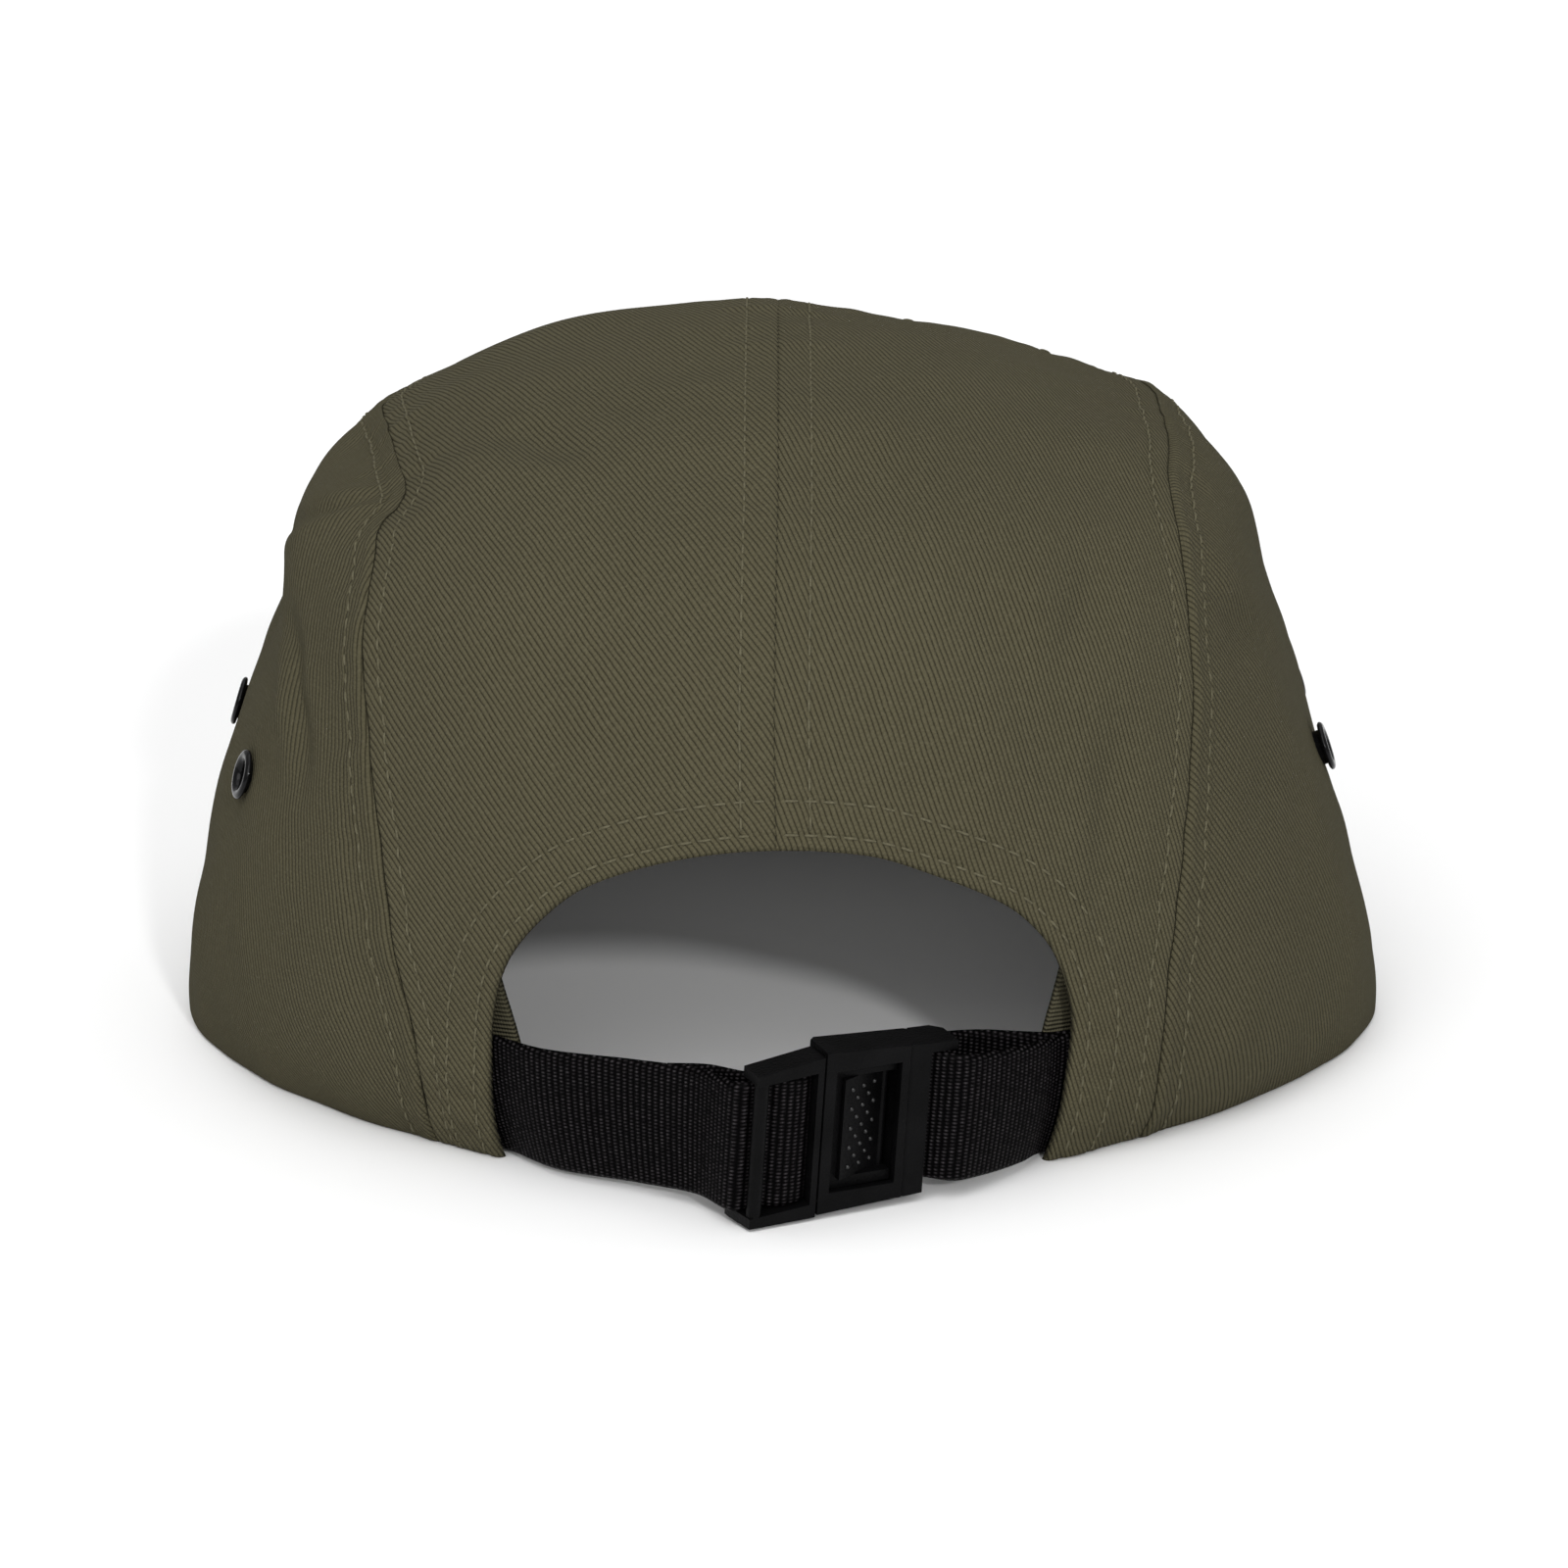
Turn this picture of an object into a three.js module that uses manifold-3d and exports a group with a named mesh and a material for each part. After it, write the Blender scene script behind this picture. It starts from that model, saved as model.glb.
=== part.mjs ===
// Five panel cap: soft crown of five cloth panels, peak, sweatband, webbing strap with a clip, eyelets.
// Millimetres, +Z up, +Y towards the peak, +X to the right seen from behind.
import * as THREE from 'three';
import { mergeVertices } from 'three/addons/utils/BufferGeometryUtils.js';
import Module from 'manifold-3d';

const wasm = await Module();
wasm.setup();

// Crown
const HALF_WIDTH = 95;
const HALF_LENGTH = 86;
const CROWN_HEIGHT = 108.4;
const FABRIC = 1.4;
const SEAM_GAP = 0.3;
// Room between the panels' inner faces, whose flats cut across the curve, and what lies inside them
const LINING_GAP = 0.75;

// Peak
const PEAK_REACH = 68;
// How far the peak's widest line stands out past its two ends at the rim
const PEAK_SPREAD = 4.4;
const PEAK_THICKNESS = 3.4;
const PEAK_CAMBER = 8;
const PEAK_END_TURN = 122;
const PEAK_END_EDGE = 2;
const PEAK_TURN_IN = 14;

// Sweatband
const BAND_HEIGHT = 30;
const BAND_THICKNESS = 1.2;
const BAND_OFF_FLOOR = 0.8;
const BAND_END_TURN = 27.5;

// Webbing strap
const WEBBING_WIDTH = 20;
const WEBBING_THICKNESS = 1.2;
const STRAP_OFF_FLOOR = 0.6;
const STRAP_ROOT_TURNS = 8;

// Eyelets
const EYELET_HOLE_R = 2;
const EYELET_BARREL_R = 2.8;
const EYELET_RIM_R = 3.9;
const EYELET_RIM_HEIGHT = 0.9;
const EYELET_BACK_R = 3.6;
const EYELET_BACK_HEIGHT = 0.6;
const EYELET_PLAY = 0.45;

// Clip, in its own frame: X along the strap, Y into the opening, Z up; X = 0 where its halves meet
const CLIP_PLACE = new THREE.Vector3(6.4, -97.6, 13.9);
const CLIP_YAW = 27;
const CLIP_LEAN = 5;
const CLIP_ROLL = 1.5;
const CLIP_HEIGHT = 25;
const CLIP_DEPTH = 6.4;
const CLIP_PLAY = 0.3;
const SOCKET_LENGTH = 17.2;
const HOOD_LENGTH = 4.2;
const SOCKET_WALL = 1.2;
const SOCKET_CHAMFER = 1.6;
const WINDOW_START = 1.75;
const WINDOW_LENGTH = 10.6;
const WINDOW_HEIGHT = 18.9;
const SOCKET_DIVIDER = 12.6;
const DIVIDER_WALL = 0.8;
const PIN_SIZE = 1.8;
const PIN_INSET = 2.2;
const PLUG_LENGTH = 10.9;
const PLUG_HOOK = 0.8;
const BAR_SIZE = 2.2;
const INNER_BAR_PLACE = 5.2;
const STILE = 1;
const BUTTON_START = 3.4;
const BUTTON_PLACE = 0.3;
const BUTTON_HEIGHT = 15.7;
const RAMP_DROP = 4.1;

// The clip's outline thins towards its ends, and its plug half hangs: along is a share of the half's length,
// rail of the rail's height and drop of CLIP_HEIGHT.
const PLUG_FORM = [{ along: -1, rail: 0.71, drop: 0.076 }, { along: 0, rail: 1, drop: 0.034 }];
const SOCKET_FORM = [{ along: 0, rail: 1.09, drop: 0.016 }, { along: 1, rail: 0.68, drop: 0.008 }];

// Level sections of the crown: rise runs 0 at the rim to 1 at the top; height is a share of CROWN_HEIGHT,
// side and lean (how far the middle lies to the right) of HALF_WIDTH, back, front and waist (where the
// widest line lies) of HALF_LENGTH.
const SECTIONS = {
  columns: ['rise', 'height', 'side', 'lean', 'back', 'front', 'waist', 'backCurve', 'frontCurve'],
  rows: [
    [0.00, 0.000, 0.996, 0.004, 0.994, 1.000, 0.00, 1.61, 2.30],
    [0.12, 0.133, 0.983, 0.003, 0.991, 0.990, 0.00, 2.00, 2.30],
    [0.25, 0.298, 0.943, 0.000, 0.985, 0.975, 0.02, 2.15, 2.35],
    [0.38, 0.466, 0.883, -0.003, 0.955, 0.950, 0.04, 2.20, 2.41],
    [0.50, 0.640, 0.823, -0.006, 0.890, 0.915, 0.06, 2.24, 2.42],
    [0.55, 0.709, 0.804, -0.005, 0.836, 0.885, 0.08, 2.28, 2.42],
    [0.66, 0.832, 0.711, -0.002, 0.685, 0.800, 0.13, 2.36, 2.42],
    [0.75, 0.899, 0.582, 0.000, 0.530, 0.700, 0.17, 2.35, 2.35],
    [0.87, 0.979, 0.290, 0.000, 0.200, 0.500, 0.24, 2.12, 2.10],
    [1.00, 1.000, 0.000, 0.000, -0.290, 0.290, 0.29, 2.00, 2.00],
  ],
};

// Soft dents (depth above 0) and bulges (below 0), each round a line from one turn and rise to another;
// width is a share of the crown's rise, depth of HALF_WIDTH.
const DENTS = {
  columns: ['turn', 'rise', 'endTurn', 'endRise', 'width', 'depth'],
  rows: [
    [-58, 0.680, -92, 0.660, 0.045, 0.030],
    [-82, 0.505, -98, 0.515, 0.055, 0.018],
    [-70, 0.570, -88, 0.580, 0.050, -0.010],
    [-142, 0.860, -112, 0.810, 0.080, -0.008],
    [128, 0.880, 101, 0.810, 0.085, 0.024],
    [60, 0.520, 92, 0.535, 0.050, 0.010],
    [24, 0.560, 34, 0.430, 0.040, 0.008],
  ],
};

// Seams from the rim up: turn in degrees from the back, plus to the right
const SEAM_LEFT = [
  [-38.8, 0], [-37.9, 0.13], [-39, 0.215], [-41, 0.315], [-43.6, 0.408], [-47, 0.49],
  [-50, 0.578], [-54.5, 0.64], [-58.5, 0.69], [-73, 0.71], [-103, 0.69], [-122, 0.685],
];
const SEAM_RIGHT = [
  [41, 0], [40, 0.18], [41.1, 0.263], [43.3, 0.36], [45.5, 0.42], [48.2, 0.487],
  [51, 0.575], [56, 0.65], [63, 0.69], [77, 0.713], [100, 0.712], [122, 0.685],
];
const FRONT_SEAM = [[128, 0], [126, 0.35], [124, 0.55], [122, 0.685]];
const CENTRE_SEAM_FRONT_RISE = 0.82;
const ARCH = [
  [-30.5, 0], [-29.5, 0.122], [-28.8, 0.19], [-26.8, 0.253], [-23.8, 0.297], [-18.5, 0.343],
  [-10.8, 0.372], [0, 0.386], [8.5, 0.38], [15.8, 0.355], [22.5, 0.32], [26.5, 0.278],
  [28.5, 0.233], [29.5, 0.185], [29.2, 0.11], [28.8, 0],
];

// Strap courses from the foot of the arch to the clip: along and bow are shares of that span
const COURSE_LEFT = [{ along: 0.26, bow: 0.04 }, { along: 0.57, bow: -0.02 }, { along: 0.8, bow: -0.05 }];
const COURSE_RIGHT = [{ along: 0.23, bow: 0.09 }, { along: 0.6, bow: 0.17 }, { along: 0.86, bow: 0.17 }];
const COURSE_RIGHT_BACK = [
  { along: 0.85, bow: -0.06 }, { along: 0.5, bow: -0.1 }, { along: 0.2, bow: -0.03 },
];
// The left strap's tail ends at this share of the way between two lines of its course, this far behind it
const TAIL_END = 0.6;
const TAIL_GAP = 1;

const EYELETS = [
  { name: 'eyelet_left_rear', turn: -70, rise: 0.352 },
  { name: 'eyelet_left_front', turn: -91, rise: 0.372 },
  { name: 'eyelet_right_rear', turn: 84, rise: 0.342 },
  { name: 'eyelet_right_front', turn: 105, rise: 0.36 },
];

const olive = (name) =>
  new THREE.MeshStandardMaterial({ name, color: 0x504d3d, roughness: 0.95, metalness: 0 });
const black = (name, roughness, metalness) =>
  new THREE.MeshStandardMaterial({ name, color: 0x121112, roughness, metalness });

// Slopes of a monotone cubic through the points, and its value
function monotone(xs, ys) {
  const last = xs.length - 1;
  const step = xs.slice(1).map((x, k) => x - xs[k]);
  const rate = step.map((h, k) => (ys[k + 1] - ys[k]) / h);
  const edge = (h0, h1, m0, m1) => {
    const slope = ((2 * h0 + h1) * m0 - h0 * m1) / (h0 + h1);
    if (slope * m0 <= 0) return 0;
    return m0 * m1 <= 0 && Math.abs(slope) > 3 * Math.abs(m0) ? 3 * m0 : slope;
  };
  const slopes = xs.map((x, k) => {
    if (last === 1) return rate[0];
    if (k === 0) return edge(step[0], step[1], rate[0], rate[1]);
    if (k === last) return edge(step[k - 1], step[k - 2], rate[k - 1], rate[k - 2]);
    if (rate[k - 1] * rate[k] <= 0) return 0;
    const before = 2 * step[k] + step[k - 1];
    const after = step[k] + 2 * step[k - 1];
    return (before + after) / (before / rate[k - 1] + after / rate[k]);
  });
  return (x) => {
    let k = 0;
    while (k < last - 1 && x > xs[k + 1]) k += 1;
    const t = Math.min(Math.max((x - xs[k]) / step[k], 0), 1);
    const rest = 1 - t;
    const start = ys[k] * (1 + 2 * t) * rest * rest + slopes[k] * step[k] * t * rest * rest;
    return start + ys[k + 1] * t * t * (3 - 2 * t) - slopes[k + 1] * step[k] * t * t * rest;
  };
}

const section = {};
SECTIONS.columns.slice(1).forEach((name, k) => {
  section[name] = monotone(SECTIONS.rows.map((row) => row[0]), SECTIONS.rows.map((row) => row[k + 1]));
});
const dents = DENTS.rows.map((row) => Object.fromEntries(DENTS.columns.map((name, k) => [name, row[k]])));

const radians = THREE.MathUtils.degToRad;

// The crown is drawn on a flat disc: the rim is its edge, the top its middle, the back its -Y side
function onDisc(turn, rise) {
  return new THREE.Vector2(Math.sin(radians(turn)), -Math.cos(radians(turn))).multiplyScalar(1 - rise);
}

// One level section is two half superellipses, back and front, that meet at its waist
function levelPoint(sine, cosine, rise) {
  const width = Math.max(HALF_WIDTH * section.side(rise), 1e-6);
  const waist = section.waist(rise);
  const ahead = cosine > 0;
  const share = ahead ? section.front(rise) - waist : section.back(rise) + waist;
  const reach = Math.max(share * HALF_LENGTH, 1e-6);
  const power = ahead ? section.frontCurve(rise) : section.backCurve(rise);
  const sum = (Math.abs(sine) / width) ** power + (Math.abs(cosine) / reach) ** power;
  const radius = sum ** (-1 / power);
  return [section.lean(rise) * HALF_WIDTH + radius * sine, waist * HALF_LENGTH + radius * cosine];
}

const endTurn = radians(PEAK_END_TURN);
const peakHalfWidth = levelPoint(Math.sin(endTurn), -Math.cos(endTurn), 0)[0] + PEAK_SPREAD;

// The peak is bent across: highest in the middle, down to the floor at its sides
function camber(x) {
  return PEAK_CAMBER * Math.max(0, 1 - (x / peakHalfWidth) ** 2);
}

const LIFT_FADE_RISE = 0.35;

function smoothCrown(spot) {
  const radius = Math.min(spot.length(), 1);
  const rise = 1 - radius;
  const sine = radius > 1e-9 ? spot.x / spot.length() : 0;
  const cosine = radius > 1e-9 ? spot.y / spot.length() : 1;
  const [x, y] = levelPoint(sine, cosine, rise);
  let z = section.height(rise) * CROWN_HEIGHT;
  if (cosine > 0) z += camber(levelPoint(sine, cosine, 0)[0]) * Math.max(0, 1 - rise / LIFT_FADE_RISE) ** 2;
  return new THREE.Vector3(x, y, z);
}

const PROBE = 0.004;

function normalOf(surface, spot) {
  const inside = spot.clone().clampLength(0, 1 - 1.5 * PROBE);
  const across = (dx, dy) => {
    const ahead = surface(new THREE.Vector2(inside.x + dx, inside.y + dy));
    return ahead.sub(surface(new THREE.Vector2(inside.x - dx, inside.y - dy)));
  };
  return across(PROBE, 0).cross(across(0, PROBE)).normalize();
}

function dentDepth(spot) {
  let depth = 0;
  for (const dent of dents) {
    const from = onDisc(dent.turn, dent.rise);
    const line = onDisc(dent.endTurn, dent.endRise).sub(from);
    const along = THREE.MathUtils.clamp(spot.clone().sub(from).dot(line) / line.lengthSq(), 0, 1);
    const away = spot.distanceTo(from.addScaledVector(line, along)) / dent.width;
    depth += dent.depth * HALF_WIDTH * Math.exp(-away * away);
  }
  return depth;
}

function crown(spot) {
  const depth = dentDepth(spot);
  const point = smoothCrown(spot);
  return Math.abs(depth) < 1e-4 ? point : point.addScaledVector(normalOf(smoothCrown, spot), -depth);
}

// A point this far inside the crown's outer face; at the rim the way in is level, so that the rim stays flat
const LEVEL_RISE = 0.05;

function insideCrown(spot, depth) {
  const inward = normalOf(crown, spot);
  inward.z *= THREE.MathUtils.smoothstep(1 - spot.length(), 0, LEVEL_RISE);
  return crown(spot).addScaledVector(inward.normalize(), -depth);
}

function riseAtHeight(height) {
  let low = 0;
  let high = 1;
  for (let k = 0; k < 40; k += 1) {
    const middle = (low + high) / 2;
    if (section.height(middle) * CROWN_HEIGHT < height) low = middle;
    else high = middle;
  }
  return low;
}

// A smooth line on the disc through (turn, rise) points, sampled evenly from one share of it to another
function discLine(points) {
  const spots = points.map(([turn, rise]) => onDisc(turn, rise));
  const lengths = [0];
  for (let k = 1; k < spots.length; k += 1) lengths.push(lengths[k - 1] + spots[k].distanceTo(spots[k - 1]));
  const total = lengths[lengths.length - 1];
  const x = monotone(lengths, spots.map((spot) => spot.x));
  const y = monotone(lengths, spots.map((spot) => spot.y));
  const share = (index) => lengths[index] / total;
  const sample = (count, from = 0, to = 1) => Array.from({ length: count + 1 }, (unused, k) => {
    const along = (from + ((to - from) * k) / count) * total;
    return new THREE.Vector2(x(along), y(along));
  });
  return { sample, share };
}

const plainSide = (spots) => spots.map((spot) => ({ spot, shift: new THREE.Vector2() }));

// The side of a panel that is sewn: each sample steps half a seam gap towards the panel's own ground
function sewnSide(spots, ground) {
  return spots.map((spot, k) => {
    const before = spots[Math.max(k - 1, 0)];
    const after = spots[Math.min(k + 1, spots.length - 1)];
    const way = after.clone().sub(before).normalize();
    const normal = new THREE.Vector2(-way.y, way.x);
    if (normal.dot(ground.clone().sub(spot)) < 0) normal.negate();
    const ahead = smoothCrown(spot.clone().addScaledVector(normal, PROBE));
    const scale = ahead.distanceTo(smoothCrown(spot.clone().addScaledVector(normal, -PROBE))) / (2 * PROBE);
    return { spot, shift: normal.multiplyScalar(SEAM_GAP / 2 / scale) };
  });
}

// A grid of disc spots spanned between four sides that share their corners
function patch(bottom, right, top, left) {
  const columns = bottom.length - 1;
  const rows = left.length - 1;
  const moved = (side, k, starts, ends) => {
    const spot = side[k].spot.clone().add(side[k].shift);
    if (k === 0) spot.add(starts.shift);
    if (k === side.length - 1) spot.add(ends.shift);
    return side[k].spot.length() > 1 - 1e-9 ? spot.setLength(1) : spot;
  };
  const low = bottom.map((unused, k) => moved(bottom, k, left[0], right[0]));
  const high = top.map((unused, k) => moved(top, k, left[rows], right[rows]));
  const west = left.map((unused, k) => moved(left, k, bottom[0], top[0]));
  const east = right.map((unused, k) => moved(right, k, bottom[columns], top[columns]));
  return low.map((unused, i) => west.map((ignored, j) => {
    const u = i / columns;
    const v = j / rows;
    const spot = new THREE.Vector2().addScaledVector(low[i], 1 - v).addScaledVector(high[i], v);
    spot.addScaledVector(west[j], 1 - u).addScaledVector(east[j], u);
    spot.addScaledVector(low[0], -(1 - u) * (1 - v)).addScaledVector(low[columns], -u * (1 - v));
    return spot.addScaledVector(high[0], -(1 - u) * v).addScaledVector(high[columns], -u * v);
  }));
}

// A closed wall over grids of flat spots that share their common edges: front face, back face and rims
function closedWall(grids, front, back) {
  const spots = [];
  const known = new Map();
  const indexOf = (spot) => {
    const key = `${spot.x.toFixed(7)},${spot.y.toFixed(7)}`;
    if (!known.has(key)) known.set(key, spots.push(spot) - 1);
    return known.get(key);
  };
  const faces = [];
  for (const grid of grids) {
    for (let i = 0; i < grid.length - 1; i += 1) {
      for (let j = 0; j < grid[0].length - 1; j += 1) {
        const ring = [grid[i][j], grid[i + 1][j], grid[i + 1][j + 1], grid[i][j + 1]];
        const [a, b, c, d] = ring.map(indexOf);
        faces.push([a, b, c], [a, c, d]);
      }
    }
  }
  const edges = new Map();
  faces.forEach((face) => {
    const [a, b, c] = face.map((k) => spots[k]);
    if (b.clone().sub(a).cross(c.clone().sub(a)) < 0) face.reverse();
    face.forEach((from, k) => edges.set(`${from},${face[(k + 1) % 3]}`, [from, face[(k + 1) % 3]]));
  });
  const count = spots.length;
  const index = faces.flatMap(([a, b, c]) => [a, b, c, a + count, c + count, b + count]);
  for (const [from, to] of edges.values()) {
    if (edges.has(`${to},${from}`)) continue;
    index.push(to, from, from + count, to, from + count, to + count);
  }
  const points = [...spots.map(front), ...spots.map(back)];
  const geometry = new THREE.BufferGeometry().setFromPoints(points);
  geometry.setIndex(index);
  return geometry;
}

function asSolid(geometry) {
  const bare = geometry.clone();
  bare.deleteAttribute('normal');
  bare.deleteAttribute('uv');
  const merged = mergeVertices(bare, 1e-4);
  const vertProperties = new Float32Array(merged.attributes.position.array);
  const triVerts = new Uint32Array(merged.index.array);
  return new wasm.Manifold(new wasm.Mesh({ numProp: 3, vertProperties, triVerts }));
}

function asGeometry(solid) {
  const mesh = solid.getMesh();
  const geometry = new THREE.BufferGeometry();
  geometry.setAttribute('position', new THREE.BufferAttribute(new Float32Array(mesh.vertProperties), 3));
  geometry.setIndex([...mesh.triVerts]);
  return geometry;
}

function box(x0, x1, y0, y1, z0, z1) {
  const geometry = new THREE.BoxGeometry(x1 - x0, y1 - y0, z1 - z0);
  return asSolid(geometry.translate((x0 + x1) / 2, (y0 + y1) / 2, (z0 + z1) / 2));
}

// A plan outline in X and Y, raised evenly above and below Z = 0
function plate(outline, height) {
  const shape = new THREE.Shape(outline.map(([x, y]) => new THREE.Vector2(x, y)));
  const geometry = new THREE.ExtrudeGeometry(shape, { depth: height, bevelEnabled: false });
  return asSolid(geometry.translate(0, 0, -height / 2));
}

const cap = new THREE.Group();

function add(name, geometry, material, parent = cap) {
  geometry.computeVertexNormals();
  const mesh = new THREE.Mesh(geometry, material);
  mesh.name = name;
  parent.add(mesh);
  return mesh;
}

// Panels
const ARCH_TOP = 7;
// Cells of the panels' grids: across the leg of the arch and the arch, and along a seam from the rim to the
// hip where the leg ends, on to the knee where the side panel turns over, and on to the top corner
const LEG_CELLS = 3;
const ARCH_CELLS = 9;
const HIP_CELLS = 6;
const KNEE_CELLS = 7;
const TOP_CELLS = 14;
const HIP_POINT = 3;
const KNEE_POINT = 8;
const arch = discLine(ARCH);
const topCentre = [180, CENTRE_SEAM_FRONT_RISE];

function mirrored(points) {
  return points.map(([turn, rise]) => [-turn, rise]);
}

function rimLine(from, to, count) {
  const turns = Array.from({ length: count + 1 }, (unused, k) => from + ((to - from) * k) / count);
  return plainSide(turns.map((turn) => onDisc(turn, 0)));
}

// Both panels at a seam share its samples, so that their edges run side by side
function seamSamples(seamPoints) {
  const line = discLine(seamPoints);
  const hip = line.share(HIP_POINT);
  const knee = line.share(KNEE_POINT);
  const lower = [...line.sample(HIP_CELLS, 0, hip).slice(0, -1), ...line.sample(KNEE_CELLS, hip, knee)];
  return [...lower.slice(0, -1), ...line.sample(TOP_CELLS, knee, 1)];
}

function backPanel(side, seamPoints, shoulder) {
  const ground = onDisc(side * 15, 0.5);
  const seam = sewnSide(seamSamples(seamPoints), ground);
  const foot = side < 0 ? ARCH[0] : ARCH[ARCH.length - 1];
  const rim = rimLine(seamPoints[0][0], foot[0], LEG_CELLS);
  const legEdge = plainSide(arch.sample(HIP_CELLS, side < 0 ? 0 : 1, arch.share(shoulder)));
  const archEdge = plainSide(arch.sample(ARCH_CELLS, arch.share(shoulder), arch.share(ARCH_TOP)));
  const hip = seam[HIP_CELLS].spot;
  const crossing = plainSide(Array.from({ length: LEG_CELLS + 1 }, (unused, k) => (
    hip.clone().lerp(archEdge[0].spot, k / LEG_CELLS))));
  const corner = seamPoints[seamPoints.length - 1];
  const crossSeam = sewnSide(discLine([corner, topCentre]).sample(LEG_CELLS + ARCH_CELLS), ground);
  const centreSeam = sewnSide(discLine([ARCH[ARCH_TOP], topCentre]).sample(KNEE_CELLS + TOP_CELLS), ground);
  const leg = patch(rim, legEdge, crossing, seam.slice(0, HIP_CELLS + 1));
  const body = patch([...crossing, ...archEdge.slice(1)], centreSeam, crossSeam, seam.slice(HIP_CELLS));
  leg.forEach((column, k) => column.splice(-1, 1, body[k][0]));
  return closedWall([leg, body], crown, (spot) => insideCrown(spot, FABRIC));
}

function sidePanel(side, seamPoints) {
  const ground = onDisc(side * 90, 0.4);
  const seam = sewnSide(seamSamples(seamPoints), ground);
  const knee = HIP_CELLS + KNEE_CELLS;
  const frontPoints = side > 0 ? FRONT_SEAM : mirrored(FRONT_SEAM);
  const frontSide = sewnSide(discLine(frontPoints).sample(knee), ground);
  const rim = rimLine(seamPoints[0][0], frontPoints[0][0], TOP_CELLS);
  const grid = patch(rim, frontSide, seam.slice(knee), seam.slice(0, knee + 1));
  return closedWall([grid], crown, (spot) => insideCrown(spot, FABRIC));
}

function frontPanel() {
  const ground = onDisc(180, 0.4);
  const rows = HIP_CELLS + KNEE_CELLS;
  const half = LEG_CELLS + ARCH_CELLS;
  const left = sewnSide(discLine(mirrored(FRONT_SEAM)).sample(rows), ground);
  const right = sewnSide(discLine(FRONT_SEAM).sample(rows), ground);
  const topLeft = discLine([mirrored(FRONT_SEAM)[3], topCentre]).sample(half).slice(0, -1);
  const top = sewnSide([...topLeft, ...discLine([topCentre, FRONT_SEAM[3]]).sample(half)], ground);
  const bottom = rimLine(-FRONT_SEAM[0][0], FRONT_SEAM[0][0] - 360, 2 * half);
  return closedWall([patch(bottom, right, top, left)], crown, (spot) => insideCrown(spot, FABRIC));
}

// A round eyelet with a rolled rim outside, a flange inside and a barrel through the cloth
function eyeletGeometry() {
  const back = -FABRIC - EYELET_PLAY;
  const rim = EYELET_PLAY + EYELET_RIM_HEIGHT;
  const profile = [
    [EYELET_HOLE_R, back - EYELET_BACK_HEIGHT],
    [EYELET_BACK_R, back - EYELET_BACK_HEIGHT],
    [EYELET_BACK_R, back],
    [EYELET_BARREL_R, back],
    [EYELET_BARREL_R, EYELET_PLAY],
    [EYELET_RIM_R, EYELET_PLAY],
    [EYELET_RIM_R - 0.1, rim - 0.4],
    [(EYELET_RIM_R + EYELET_BARREL_R) / 2, rim],
    [EYELET_BARREL_R, rim],
    [EYELET_HOLE_R, rim - 0.5],
    [EYELET_HOLE_R, back - EYELET_BACK_HEIGHT],
  ];
  return asGeometry(asSolid(new THREE.LatheGeometry(profile.map(([r, h]) => new THREE.Vector2(r, h)), 16)));
}

function placed(object, spot) {
  object.position.copy(crown(spot));
  object.quaternion.setFromUnitVectors(new THREE.Vector3(0, 1, 0), normalOf(crown, spot));
  object.updateMatrix();
  return object;
}

const HOLE_CUTTER_LENGTH = 12;

function withEyeletHoles(geometry, side) {
  let solid = asSolid(geometry);
  for (const eyelet of EYELETS.filter((item) => Math.sign(item.turn) === side)) {
    const cutter = new THREE.CylinderGeometry(
      EYELET_BARREL_R + SEAM_GAP, EYELET_BARREL_R + SEAM_GAP, HOLE_CUTTER_LENGTH, 12);
    const place = placed(new THREE.Object3D(), onDisc(eyelet.turn, eyelet.rise));
    solid = solid.subtract(asSolid(cutter.applyMatrix4(place.matrix)));
  }
  return asGeometry(solid);
}

// Peak: a bent slab from the rim's outer face to a rounded front edge
function peakGeometry() {
  const columns = 24;
  const rows = 5;
  const base = (s) => {
    const turn = 360 - PEAK_END_TURN - s * (360 - 2 * PEAK_END_TURN);
    return insideCrown(onDisc(turn, 0), -SEAM_GAP);
  };
  const power = 2 / 2.4;
  const sweep = Math.PI - Math.asin(((base(1).x + PEAK_END_EDGE / 2) / peakHalfWidth) ** (1 / power));
  const widest = base(0).y + PEAK_END_EDGE + PEAK_TURN_IN * Math.abs(Math.cos(sweep)) ** power;
  const edge = (s) => {
    const angle = (2 * s - 1) * sweep;
    const x = peakHalfWidth * Math.sign(Math.sin(angle)) * Math.abs(Math.sin(angle)) ** power;
    const reach = Math.cos(angle) > 0 ? HALF_LENGTH + PEAK_REACH - widest : -PEAK_TURN_IN;
    return new THREE.Vector3(x, widest + reach * Math.abs(Math.cos(angle)) ** power, 0);
  };
  const grid = Array.from({ length: columns + 1 }, (unused, i) => (
    Array.from({ length: rows + 1 }, (ignored, j) => new THREE.Vector2(i / columns, j / rows))));
  const at = (lift) => (spot) => {
    const point = base(spot.x).lerp(edge(spot.x), spot.y);
    return point.setZ(camber(point.x) + lift);
  };
  return closedWall([grid], at(PEAK_THICKNESS), at(0));
}

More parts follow.
